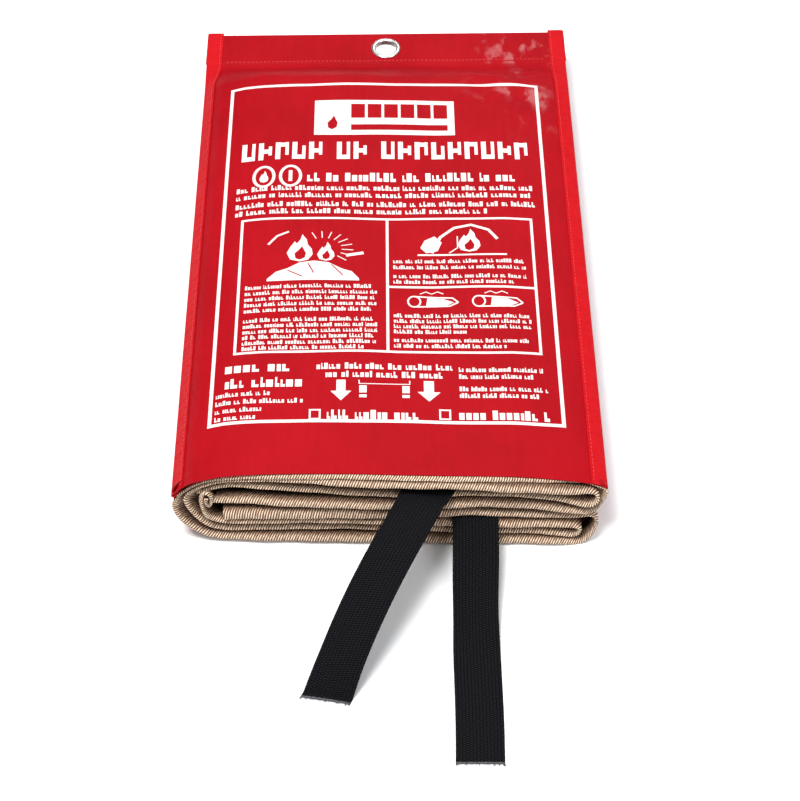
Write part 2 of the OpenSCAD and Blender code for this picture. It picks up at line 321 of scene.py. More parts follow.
class Graph:
    """One material's node graph."""

    def __init__(self, name: str) -> None:
        """Starts an empty material with an output and a Principled shader."""
        self.material = bpy.data.materials.new(name)
        self.material.use_nodes = True
        self.tree = self.material.node_tree
        self.tree.nodes.clear()
        self.output = self.node("ShaderNodeOutputMaterial")
        self.shader = self.node("ShaderNodeBsdfPrincipled")
        self.tree.links.new(self.shader.outputs[0], self.output.inputs["Surface"])

    def node(self, kind: str, settings: dict | None = None, sockets: dict | None = None) -> bpy.types.Node:
        """Adds a node.

        Args:
            kind: the node's type.
            settings: its own properties, set first.
            sockets: input name or index to a number, colour, Value or socket.

        Returns:
            The new node.
        """
        node = self.tree.nodes.new(kind)
        for key, value in (settings or {}).items():
            setattr(node, key, value)
        for key, value in (sockets or {}).items():
            self.feed(node.inputs[key], value)
        return node

    def feed(self, target: bpy.types.NodeSocket, value: object) -> None:
        """Links or sets one input."""
        if isinstance(value, Value):
            value = value.socket
        if isinstance(value, bpy.types.NodeSocket):
            self.tree.links.new(value, target)
        elif isinstance(value, tuple) and len(value) == 3 and target.type == "RGBA":
            target.default_value = (*value, 1.0)
        else:
            target.default_value = value

    def math(self, operation: str, *parts: "Value | float") -> Value:
        """One Math node."""
        node = self.node("ShaderNodeMath", {"operation": operation}, dict(enumerate(parts)))
        return Value(self, node.outputs[0])

    def blend(self, factor: Value, a: object, b: object) -> bpy.types.NodeSocket:
        """Mixes two colours."""
        node = self.node("ShaderNodeMix", {"data_type": "RGBA"}, {0: factor, 6: a, 7: b})
        return node.outputs[2]

    def tint(self, colour: object, strength: Value) -> bpy.types.NodeSocket:
        """Scales a colour by a number that changes over the surface."""
        node = self.node("ShaderNodeVectorMath", {"operation": "SCALE"}, {0: colour, "Scale": strength})
        return node.outputs[0]

    def cloth(self) -> tuple[Value, Value]:
        """The cloth coordinates in millimetres."""
        uv = self.node("ShaderNodeUVMap", {"uv_map": UV})
        split = self.node("ShaderNodeSeparateXYZ", None, {0: uv.outputs[0]})
        return Value(self, split.outputs[0]) * 1000.0, Value(self, split.outputs[1]) * 1000.0

    def noise(self, scale: float, detail: float = 3.0, rough: float = 0.5,
              stretch: Colour = (1.0, 1.0, 1.0), on_cloth: bool = True) -> Value:
        """Noise over the cloth or over the part's own space.

        Args:
            scale: features for each metre.
            detail: octaves.
            rough: weight of the finer octaves.
            stretch: scale along each direction.
            on_cloth: follow the cloth coordinates.

        Returns:
            The noise, about 0.5 in the mean.
        """
        if on_cloth:
            source = self.node("ShaderNodeUVMap", {"uv_map": UV}).outputs[0]
        else:
            source = self.node("ShaderNodeTexCoord").outputs["Object"]
        place = self.node("ShaderNodeMapping", None, {"Vector": source, "Scale": stretch})
        node = self.node("ShaderNodeTexNoise", {"noise_dimensions": "3D"},
                         {"Vector": place.outputs[0], "Scale": scale, "Detail": detail, "Roughness": rough})
        return Value(self, node.outputs["Fac"])

    def bump(self, height: Value, distance: float, strength: float = 1.0) -> None:
        """Feeds a height in 0..1 to the shader's normal."""
        node = self.node("ShaderNodeBump", None,
                         {"Strength": strength, "Distance": distance, "Height": height})
        self.feed(self.shader.inputs["Normal"], node.outputs[0])

    def shade(self, **inputs: object) -> bpy.types.Material:
        """Sets the shader's inputs, with _ for a space in their names, and returns the material."""
        for key, value in inputs.items():
            self.feed(self.shader.inputs[key.replace("_", " ")], value)
        return self.material


@dataclass(frozen=True)
class CoatedCloth:
    """Plain-weave nylon with a thin coat, as the pouch's panels are made of."""

    colour: Colour = (0.385, 0.0034, 0.0090)
    deep: Colour = (0.26, 0.0018, 0.0052)
    thread_mm: float = 0.62

    def material(self) -> bpy.types.Material:
        """Builds the material."""
        g = Graph("pouch_fabric")
        u, v = g.cloth()
        wave = 2 * math.pi / self.thread_mm
        warp, weft = (u * wave).sin(), (v * wave).sin()
        weave = (warp * weft) * 0.5 + 0.5
        cloud = g.noise(14, 4, 0.6)
        slub = g.noise(260, 2, 0.5, (1.0, 0.12, 1.0))
        crease = g.noise(34, 5, 0.62, (1.0, 0.55, 1.0))
        shade = (cloud - 0.5) * 0.9 + weave * 0.16 + (slub - 0.5) * 0.35 + 0.42
        colour = g.blend(shade.between(0.0, 1.0), self.deep, self.colour)
        rough = 0.47 + (crease - 0.5) * 0.35 + weave * 0.05
        streak = g.noise(58, 4, 0.6, (1.0, 0.6, 1.0))
        gloss = streak.between(0.52, 0.66) * u.between(45.0, 110.0) * v.between(300.0, 375.0) * 0.9
        g.bump(weave * 0.10 + slub * 0.10 + crease * 0.8, 0.0009, 0.55)
        return g.shade(Base_Color=colour, Roughness=rough, Specular_IOR_Level=0.06, Coat_Weight=gloss,
                       Coat_Roughness=0.2)


@dataclass(frozen=True)
class EdgeTape:
    """Ribbed woven tape, brighter than the panels."""

    colour: Colour = (0.54, 0.0065, 0.011)
    deep: Colour = (0.38, 0.003, 0.007)
    rib_mm: float = 1.1

    def material(self) -> bpy.types.Material:
        """Builds the material."""
        g = Graph("binding_tape")
        u, v = g.cloth()
        wave = 2 * math.pi / self.rib_mm
        ribs = (v * wave).sin() * 0.5 + 0.5
        rows = (u * (2 * math.pi / 0.7)).sin() * 0.5 + 0.5
        worn = g.noise(90, 4, 0.6)
        colour = g.blend((ribs * 0.3 + rows * 0.2 + worn * 0.75).between(0.1, 0.95), self.deep, self.colour)
        g.bump(ribs * 0.6 + rows * 0.25 + worn * 0.3, 0.0003, 0.7)
        return g.shade(Base_Color=colour, Roughness=0.42 + worn * 0.25, Specular_IOR_Level=0.07)


@dataclass(frozen=True)
class Thread:
    """Twisted polyester thread."""

    name: str
    colour: Colour
    deep: Colour

    def material(self) -> bpy.types.Material:
        """Builds the material."""
        g = Graph(self.name)
        u, v = g.cloth()
        twist = ((u * 9.0) + (v * 9.0)).sin() * 0.5 + 0.5
        colour = g.blend(twist, self.deep, self.colour)
        g.bump(twist, 0.00012, 0.6)
        return g.shade(Base_Color=colour, Roughness=0.5 - twist * 0.1)


@dataclass(frozen=True)
class ScreenInk:
    """Warm white screen print, a little thin over the weave."""

    colour: Colour = (0.74, 0.66, 0.64)
    thin: Colour = (0.66, 0.30, 0.28)
    thread_mm: float = 0.62

    def material(self) -> bpy.types.Material:
        """Builds the material."""
        g = Graph("print_ink")
        u, v = g.cloth()
        wave = 2 * math.pi / self.thread_mm
        weave = ((u * wave).sin() * (v * wave).sin()) * 0.5 + 0.5
        patch = g.noise(420, 3, 0.6)
        cover = (weave * 0.35 + patch).between(0.28, 0.52)
        colour = g.blend(cover, self.thin, self.colour)
        g.bump(weave * 0.4 + patch * 0.6, 0.00012, 0.6)
        return g.shade(Base_Color=colour, Roughness=0.5 + patch * 0.15)


@dataclass(frozen=True)
class GlassTwill:
    """Coarse glass-fibre twill: diagonal strokes, partly lightened as painted highlight, with brown gaps, partly
    darkened as painted shade, and painted shade in the creases between folds.
    """

    # the floats' tops: partly the yarn's own pale colour, partly painted highlight
    light: Colour = (0.95, 0.80, 0.62)
    middle: Colour = (0.50, 0.30, 0.185)
    # the gaps between floats: partly darker weave, partly painted shade
    gap: Colour = (0.115, 0.045, 0.021)
    # painted shade for the creases between folds
    shade: Colour = (0.105, 0.036, 0.014)
    # painted shadow for the cavities deep inside the folds
    painted_cavity_shadow: Colour = (0.010, 0.004, 0.002)
    pitch_mm: float = 1.68
    lean: float = -0.55

    def material(self) -> bpy.types.Material:
        """Builds the material."""
        g = Graph("glass_cloth")
        u, v = g.cloth()
        drift = (g.noise(28, 2, 0.5) - 0.5) * 5.0
        fine = g.noise(900, 3, 0.6)
        phase = (u + v * self.lean) * (2 * math.pi / self.pitch_mm) + drift
        stroke = phase.sin() * 0.5 + 0.5
        ridge = stroke ** 0.75
        row = ((phase / (2 * math.pi)).floor() * 2.4 + v * 0.62).sin() * 0.5 + 0.5
        float_end = (row.between(0.0, 0.22)) * 0.28 + 0.72
        fibre = (((u * self.lean - v) * 11.0 + drift * 2.0).sin() * 0.5 + 0.5) * 0.16
        cloud = g.noise(22, 3, 0.6)
        level = ridge * float_end + fibre - 0.08 + (fine - 0.5) * 0.25
        # Gaps between the floats go dark as painted shade and the floats' tops light as painted highlight, over
        # the weave's own tone.
        body = g.blend(level.between(0.08, 0.66), self.gap, self.middle)
        bright = g.blend(level.between(0.50, 0.96), body, self.light)
        # Painted shade: the cloth darkens in the creases, and goes almost black deep in the cavities, by how far
        # it lies behind its fold's nose.
        recess = Value(g, g.node("ShaderNodeAttribute", {"attribute_name": RECESS}).outputs["Fac"])
        shaded = g.blend(recess.between(0.7, 3.6) * (0.95 - level * 0.3), g.tint(bright, 0.80 + cloud * 0.40),
                         self.shade)
        colour = g.blend(recess.between(3.2, 9.0), shaded, self.painted_cavity_shadow)
        g.bump(level, 0.00055, 0.9)
        return g.shade(Base_Color=colour, Roughness=0.62 - level * 0.22, Specular_IOR_Level=0.1)


@dataclass(frozen=True)
class Webbing:
    """Black woven webbing with fine ribs, their tops lighter as painted highlight and the grooves darker as
    painted shade, and lighter in a band at its tip.
    """

    colour: Colour = (0.0135, 0.0135, 0.016)
    # the grooves between the ribs, partly painted shade
    deep: Colour = (0.0004, 0.0004, 0.0006)
    tip: Colour = (0.16, 0.16, 0.17)
    tip_mm: float = 250.0

    def material(self) -> bpy.types.Material:
        """Builds the material."""
        g = Graph(f"webbing_{int(self.tip_mm)}")
        u, v = g.cloth()
        fine = g.noise(700, 3, 0.6)
        column = (u * (2 * math.pi / 4.2)).sin()
        side = column.between(-0.25, 0.25)
        ribs = ((v + side * 0.75) * (2 * math.pi / 1.5)).sin() * 0.5 + 0.5
        gaps = abs(column).between(0.0, 0.45)
        level = ribs * 0.62 + gaps * 0.38 + (fine - 0.5) * 0.35
        # Ribs' tops lighter as painted highlight, grooves darker as painted shade, over the webbing's own black.
        body = g.blend(level.between(0.15, 1.0), self.deep, self.colour)
        cut = (v + (fine - 0.5) * 2.5).between(self.tip_mm - 1.1, self.tip_mm - 0.2)
        g.bump(level, 0.0007, 1.0)
        return g.shade(Base_Color=g.blend(cut * 0.8, body, self.tip), Roughness=0.75 - level * 0.12,
                       Specular_IOR_Level=0.025)


@dataclass(frozen=True)
class Nickel:
    """Bright nickel plate with light rubbing marks."""

    colour: Colour = (0.74, 0.73, 0.71)

    def material(self) -> bpy.types.Material:
        """Builds the material."""
        g = Graph("eyelet_metal")
        rub = g.noise(900, 4, 0.7, (1.0, 1.0, 0.2), on_cloth=False)
        spots = g.noise(240, 3, 0.6, on_cloth=False)
        g.bump(rub, 0.00005, 0.5)
        colour = g.tint(self.colour_node(g), 0.82 + spots * 0.3)
        return g.shade(Base_Color=colour, Metallic=1.0, Roughness=0.16 + rub * 0.16)

    def colour_node(self, g: Graph) -> bpy.types.NodeSocket:
        """The plate's colour as a socket."""
        return g.node("ShaderNodeMix", {"data_type": "RGBA"},
                      {0: 0.5, 6: self.colour, 7: self.colour}).outputs[2]


@dataclass(frozen=True)
class Finishes:
    """Every material of the object, made once."""

    cloth: bpy.types.Material
    tape: bpy.types.Material
    seam: bpy.types.Material
    ink: bpy.types.Material
    metal: bpy.types.Material
    glass: bpy.types.Material
    cut_out: bpy.types.Material

    @classmethod
    def make(cls) -> "Finishes":
        """Builds them all."""
        seam = Thread("thread", (0.74, 0.060, 0.070), (0.42, 0.012, 0.016)).material()
        cloth = CoatedCloth().material()
        cut_out = CoatedCloth().material()
        cut_out.name = "print_cut_out"
        return cls(cloth, EdgeTape().material(), seam, ScreenInk().material(), Nickel().material(),
                   GlassTwill().material(), cut_out)


def dress(piece: bpy.types.Object, slot: str, *materials: bpy.types.Material) -> bpy.types.Object:
    """Gives a piece its materials and logs how many faces it has."""
    piece.data.materials.clear()
    for material in materials:
        piece.data.materials.append(material)
    LOG.info("%s: %d faces", piece.name, len(piece.data.polygons))
    return piece


# ---------------------------------------------------------------- the pouch's shape

class Side(Enum):
    """A side of the pouch, with its sign along x."""

    LEFT = -1
    RIGHT = 1


@dataclass
class PouchShape:
    """The measures that the pouch's pieces share, in millimetres."""

    length: float = 442.0
    hem_z: float = 34.0
    hem_start: float = 410.0
    fabric: float = 0.6
    seam_x: float = 137.65
    closing_start: float = 372.0
    closing_l: float = 36.0
    stack_d: float = 375.0
    overhang: float = 8.0
    rear_share: float = 0.86
    gap: float = 0.05
    roots: tuple[float, float] = (-130.0, 128.5)
    corners: tuple[tuple[float, float], tuple[float, float]] = ((31.0, 29.7), (18.0, 18.0))
    floor_z: float = 0.3
    crown: Sequence[tuple[float, float]] = (
        (-138.1, 40.0), (-135.9, 42.1), (-132.3, 47.3), (-128.7, 50.8), (-125.3, 53.5), (-122, 55.1),
        (-118.8, 56.1), (-115.6, 57.1), (-112.3, 58.3), (-105.9, 60.2), (-99.5, 61.1), (-93.2, 61.9),
        (-80.7, 62.7), (-68.1, 62.7), (-49.4, 62.4), (-30.6, 61.7), (-11.8, 60.6), (7, 59.1),
        (32.1, 57.8), (57.2, 57.1), (82.4, 56.3), (95.1, 54.7), (107.8, 52.9), (117.3, 51.2),
        (127, 48.8), (133.5, 46.3), (138.2, 43.8))
    line: tuple[Array, Array] = field(init=False)

    def __post_init__(self) -> None:
        """Rounds the crown's knots."""
        self.line = smooth_line(self.crown, 1.6)

    def thin(self, y: Array) -> Array:
        """Share of the full height left at y."""
        return mix(1.0, self.rear_share, clamp01((y + self.overhang) / self.stack_d))

    def full(self, y: Array) -> Array:
        """1 where the pouch is full, 0 where both panels lie together."""
        return 1 - ease((y - self.closing_start) / self.closing_l)

    def layer(self, y: Array) -> Array:
        """Thickness of one panel, doubled in the hem."""
        return self.fabric * (1 + ease((y - self.hem_start + 0.6) / 1.2))

    def wrinkles(self, x: Array, y: Array) -> Array:
        """Low swells of the front panel, and the creases near its top right corner."""
        inside = ease((126 - np.abs(x)) / 30)
        swell = 0.55 * np.sin(x / 31 + 1.3) * np.sin(y / 53 + 0.4) + 0.35 * np.sin(x / 17 + y / 41) \
            + 0.22 * np.sin(x / 9.5 - y / 23 + 2.0)
        swell *= inside * ease(y / 30) * ease((405 - y) / 40)
        along = (x - 70) * 0.42 + (y - 372)
        out = (x - 70) * 0.91 - (y - 372) * 0.42
        fold = 1.5 * hump(along, 10, 5.5) * hump(out, 10, 34) - 1.2 * hump(along, -3, 6) * hump(out, 6, 30) \
            + 1.2 * hump(along, -20, 7) * hump(out, 30, 30) + 0.9 * hump(along - out * 0.5, 22, 5) \
            * hump(out, 34, 22) - 1.0 * hump(along + out * 0.35, -38, 8) * hump(out, 20, 32)
        left = 0.8 * hump((x + 92) * 0.6 + (y - 381), 0, 7) * hump(x, -88, 26)
        band = 0.5 * np.sin(x / 13 + 0.7 * np.sin(x / 29)) * hump(y, 402, 13) * inside
        return swell * 0.8 + (fold + left) * 0.85 * ease((407 - y) / 8) + band * 0.7

    def front(self, x: Array, y: Array) -> Array:
        """Middle of the front panel."""
        lift = self.layer(y) / 2 + self.gap
        flat = self.hem_z + lift
        curve = np.interp(x, *self.line) * self.thin(y) - self.fabric / 2
        return mix(flat, curve, self.full(y)) + self.wrinkles(x, y)

    def front_normal(self, x: Array, y: Array) -> Array:
        """Unit normal of the front panel."""
        e = 0.2
        dx = (self.front(x + e, y) - self.front(x - e, y)) / (2 * e)
        dy = (self.front(x, y + e) - self.front(x, y - e)) / (2 * e)
        n = np.stack([-dx, -dy, np.ones_like(dx)], -1)
        return n / np.linalg.norm(n, axis=-1, keepdims=True)

    def on_front(self, x: Array, y: Array, lift: float) -> Array:
        """Points that stand off the front panel's middle by lift."""
        x, y = np.broadcast_arrays(np.asarray(x, float), np.asarray(y, float))
        return np.stack([x, y, self.front(x, y)], -1) + self.front_normal(x, y) * lift

    def rows(self) -> Array:
        """Stations from the mouth to the top edge."""
        return np.unique(np.concatenate([
            np.linspace(0, 366, 124), np.linspace(366, 409, 26), np.linspace(409, 412, 7),
            np.linspace(412, self.length, 14)]))


@dataclass
class Pouch:
    """The red pouch: two panels, their bindings and seams, and the eyelet."""

    shape: PouchShape
    looks: Finishes
    binding_w: float = 12.0
    eyelet_r: float = 8.0
    flange_r: float = 11.25
    eyelet_inset: float = 17.0
    stitch_mm: float = 3.2

    def hole(self, panel: bpy.types.Object) -> None:
        """Cuts the eyelet's hole through a panel's hem."""
        bpy.ops.mesh.primitive_cylinder_add(
            vertices=48, radius=(self.eyelet_r + 0.65) / 1000, depth=0.02,
            location=to_frame([0, self.shape.length - self.eyelet_inset, self.shape.hem_z]))
        drill = bpy.context.object
        cut = panel.modifiers.new("eyelet_hole", "BOOLEAN")
        cut.operation, cut.object, cut.solver = "DIFFERENCE", drill, "EXACT"
        bpy.context.view_layer.update()
        graph = bpy.context.evaluated_depsgraph_get()
        done = bpy.data.meshes.new_from_object(panel.evaluated_get(graph))
        panel.modifiers.clear()
        panel.data = done
        bpy.data.objects.remove(drill)

    def front(self) -> bpy.types.Object:
        """The front panel."""
        s = self.shape
        y = s.rows()
        x = np.concatenate([[-s.seam_x, -134.5, -132], np.linspace(-130, -100, 20),
                            np.linspace(-97.5, 97.5, 79), np.linspace(100, 128.5, 20), [131, 134.5, s.seam_x]])
        xx, yy = np.meshgrid(x, y)
        bow = 0.5 * np.sin(xx / 40 + 1.0) * ease((6 - yy) / 6)
        grid = np.stack([xx, yy + bow, s.front(xx, yy)], -1)
        panel = Build.sheet("pouch_front_panel_cloth", grid, s.layer(yy), np.stack([xx, yy], -1) / 1000)
        self.hole(panel)
        dress(panel, "pouch_fabric", self.looks.cloth)
        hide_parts("pouch_front_panel")
        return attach(panel, "pouch")

    def back_line(self, y: float) -> Array:
        """The back panel's line over x at one station."""
        s = self.shape
        full = float(s.full(np.array(y)))
        thin = float(s.thin(np.array(y)))
        lay = float(s.layer(np.array(y)))
        low = lay + 2 * s.gap
        parts = []
        for side in Side:
            k = side.value
            root = abs(s.roots[0 if k < 0 else 1])
            edge = np.linspace(s.seam_x, root, 6) * k
            flange = np.stack([edge, s.front(edge, np.full(6, float(y))) - low], -1)
            r0, r1 = s.corners[0 if k < 0 else 1]
            cx = s.seam_x - 6.65 - r0
            a = np.radians(np.linspace(90, 0, 19))
            flat_x = mix(cx, s.seam_x - 12.0, np.linspace(1, 0, 19))
            round_x = k * mix(flat_x, cx + r0 * np.sin(a), full)
            round_z = mix(s.hem_z - lay / 2 - s.gap, s.floor_z + r1 * (1 - np.cos(a)) * thin, full)
            t = np.linspace(0, 1, 8)[1:-1, None]
            first, last = flange[-1], np.array([round_x[0], round_z[0]])
            wall = mix(first, last, t)
            wall[:, 0] += k * 0.9 * full * np.sin(np.pi * t[:, 0])
            parts.append(np.concatenate([flange, wall, np.stack([round_x, round_z], -1)]))
        for part in parts:
            out = 6.3 * ease((9 - y) / 9.5) * ease((np.abs(part[:, 0]) - 104) / 24) \
                * np.where(part[:, 0] > 0, ease((part[:, 1] - 26) / 12), 1.0)
            reach = np.minimum(np.abs(part[:, 0]) + out, np.maximum(s.seam_x - 0.4, np.abs(part[:, 0])))
            part[:, 0] = np.sign(part[:, 0]) * reach
        left, right = parts
        t = np.linspace(0, 1, 34)[1:-1, None]
        return np.concatenate([left, mix(left[-1], right[-1], t), right[::-1]])

    def back(self) -> bpy.types.Object:
        """The back panel."""
        s = self.shape
        y = s.rows()
        lines = np.stack([self.back_line(v) for v in y])
        yy = np.broadcast_to(y[:, None], lines.shape[:2])
        grid = np.stack([lines[..., 0], yy, lines[..., 1]], -1)
        grid[..., 2] = np.maximum(grid[..., 2], s.floor_z)
        run = np.concatenate([np.zeros((len(y), 1)),
                              np.cumsum(np.linalg.norm(np.diff(lines, axis=1), axis=2), axis=1)], 1)
        panel = Build.sheet("pouch_back_panel_cloth", grid, s.layer(yy), np.stack([run, yy], -1) / 1000)
        self.hole(panel)
        dress(panel, "pouch_fabric", self.looks.cloth)
        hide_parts("pouch_back_panel")
        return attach(panel, "pouch")

    def flange_frame(self, side: Side, y: Array) -> tuple[Array, Array, Array]:
        """The sewn edge at each station.

        Args:
            side: which edge.
            y: stations.

        Returns:
            The free edge's points, and the unit vectors inwards along the flange and out of it.
        """
        s, k = self.shape, side.value
        edge = np.full_like(y, k * s.seam_x)
        inner = np.full_like(y, k * (s.seam_x - 9.0))
        a = np.stack([edge, y, s.front(edge, y) - s.layer(y) / 2 - s.gap], -1)
        b = np.stack([inner, y, s.front(inner, y) - s.layer(y) / 2 - s.gap], -1)
        along = b - a
        along /= np.linalg.norm(along, axis=1, keepdims=True)
        out = np.cross(np.array([0.0, 1.0, 0.0]), along) * -k
        return a, along, out / np.linalg.norm(out, axis=1, keepdims=True)

    def pucker(self, y: Array, seed: float) -> Array:
        """The gathers that the seam pulls into the binding."""
        return 0.20 * np.sin(y * 0.93 + 1.7 * np.sin(y * 0.11 + seed)) \
            + 0.14 * np.sin(y * 0.41 + seed) + 0.16 * np.sin(y * 1.9 + 2.3 * np.sin(y * 0.07 + seed))

    def binding(self, side: Side) -> list[bpy.types.Object]:
        """One edge binding and its row of stitches."""
        s, k = self.shape, side.value
        name = side.name.lower()
        y = np.linspace(-0.6, s.length + 1.9, 380)
        edge, along, out = self.flange_frame(side, np.clip(y, 0, s.length))
        edge[:, 1] = y
        off = s.layer(np.clip(y, 0, s.length)) * 1.0 + s.gap + 0.22 + s.fabric / 2
        w = self.binding_w - 1.35
        front = [(w * t, 1.0) for t in (1.0, 0.93, 0.82, 0.68, 0.52, 0.36, 0.2, 0.08)]
        round_ = [(-math.sin(a) * 1.0, math.cos(a)) for a in np.radians(np.linspace(8, 172, 9))]
        back = [(4.0 * t, -1.0) for t in (0.15, 0.5, 0.85, 1.0)]
        lines = []
        gather = self.pucker(y, 1.0 if k < 0 else 2.4)
        station = np.clip(y, 0, s.length)
        lay, drop = s.layer(station), np.array([0.0, 1.0, 0.0]) * (y - station)[:, None]
        for i, (a, o) in enumerate([*front, *round_, *back]):
            if i < len(front):
                swell = 0.16 + gather * (0.35 + 0.65 * hump(np.array(a), w - 2.6, 2.4)) \
                    - 0.22 * float(hump(np.array(a), w - 1.9, 0.9))
                rise = lay / 2 + 0.3 + np.maximum(swell, -0.05)
            elif i < len(front) + len(round_):
                rise = mix(-1.5 * lay - 2 * s.gap - 0.3, lay / 2 + 0.4, (o + 1) / 2)
            else:
                rise = -1.5 * lay - 2 * s.gap - 0.35
            reach = (a if a > 0 else a * off) + (gather * 0.55 if i < 2 else 0.0) + np.zeros_like(y)
            x = edge[:, 0] - k * reach * np.abs(along[:, 0])
            lines.append(s.on_front(x, station, 0.0) + s.front_normal(x, station) * rise[:, None] + drop)
        grid = np.stack(lines, 1)
        grid[..., 2] = np.maximum(grid[..., 2], s.floor_z + 0.1)
        run = np.concatenate([[0], np.cumsum(np.linalg.norm(np.diff(grid[100], axis=0), axis=1))])
        uv = np.stack([np.broadcast_to(run, grid.shape[:2]), np.broadcast_to(y[:, None], grid.shape[:2])], -1)
        if k > 0:
            grid, uv = grid[:, ::-1], uv[:, ::-1]
        tape = Build.sheet(f"{name}_edge_binding_tape", grid, s.fabric * 0.85, uv / 1000)
        dress(tape, "binding_tape", self.looks.tape)
        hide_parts(f"{name}_edge_binding")
        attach(tape, "pouch")
        at = np.arange(2.0, s.length - 1.0, self.stitch_mm)
        rows = []
        for shift in (0.0, self.stitch_mm * 0.72):
            e, a, _ = self.flange_frame(side, at + shift)
            n = s.layer(at) / 2 + 0.62 + self.pucker(at + shift, 1.0 if k < 0 else 2.4) * 0.6
            x = e[:, 0] - k * (w - 1.9) * np.abs(a[:, 0])
            o = s.front_normal(x, at + shift)
            rows.append(s.on_front(x, at + shift, 0.0) + o * n[:, None])
        seam = Build.stitches(f"{name}_binding_seam", rows[0], rows[1], o)
        dress(seam, "thread", self.looks.seam)
        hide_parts(f"{name}_binding_stitching")
        return [tape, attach(seam, "pouch")]

    def hem_seam(self) -> bpy.types.Object:
        """The row of stitches across the hem, on both faces."""
        s = self.shape
        x = np.arange(-s.seam_x + 14, s.seam_x - 15, self.stitch_mm)
        y = np.full_like(x, s.hem_start + 1.2)
        start, end = s.on_front(x, y, 0.42), s.on_front(x + self.stitch_mm * 0.72, y, 0.42)
        drop = np.array([0, 0, -(2 * float(s.layer(y[0:1])[0]) + 2 * s.gap + 0.2)])
        ups = s.front_normal(x, y)
        row = Build.stitches("top_hem_seam", np.concatenate([start, start + drop]),
                             np.concatenate([end, end + drop]), np.concatenate([ups, -ups]))
        dress(row, "thread", self.looks.seam)
        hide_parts("top_hem_stitching")
        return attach(row, "pouch")

    def eyelet(self) -> None:
        """The eyelet's barrel with its rolled flange, and its washer behind."""
        s = self.shape
        centre = np.array([0.0, s.length - self.eyelet_inset, s.hem_z])
        top = 2 * (s.fabric + s.gap)
        roll = []
        for a in np.radians(np.linspace(180, 20, 12)):
            roll.append((self.eyelet_r + 1.55 + 1.55 * math.cos(a), top + 0.25 + 0.95 * math.sin(a)))
        for a in np.radians(np.linspace(60, -60, 7)):
            roll.append((self.flange_r - 0.42 + 0.42 * math.cos(a), top + 0.42 + 0.36 * math.sin(a)))
        under = [(self.flange_r - 0.6, top + 0.04), (self.eyelet_r + 0.6, top + 0.04),
                 (self.eyelet_r + 0.6, -top - 0.7)]
        curl = [(self.eyelet_r + 1.2 + 0.62 * math.cos(a), -top - 0.85 + 0.62 * math.sin(a))
                for a in np.radians(np.linspace(150, -190, 12))]
        barrel = Build.lathe("eyelet_barrel_rolled", np.array([*roll, *under, *curl]), centre)
        washer_line = [(self.eyelet_r + 0.9, -top - 0.06), (self.flange_r - 0.1, -top - 0.06)]
        washer_line += [(self.flange_r - 0.35 + 0.35 * math.cos(a), -top - 0.38 + 0.32 * math.sin(a))
                        for a in np.radians(np.linspace(60, -90, 7))]
        washer_line += [(self.eyelet_r + 2.4, -top - 0.78), (self.eyelet_r + 0.9, -top - 0.5)]
        washer = Build.lathe("eyelet_washer_pressed", np.array(washer_line), centre)
        for piece, node in ((barrel, "eyelet_barrel"), (washer, "eyelet_washer")):
            dress(piece, "eyelet_metal", self.looks.metal)
            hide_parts(node)
            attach(piece, "pouch")

    def build(self) -> None:
        """Builds every piece of the pouch."""
        front, back = self.front(), self.back()
        edges = [piece for side in Side for piece in self.binding(side)]
        hem = self.hem_seam()
        self.eyelet()


# ---------------------------------------------------------------- the print

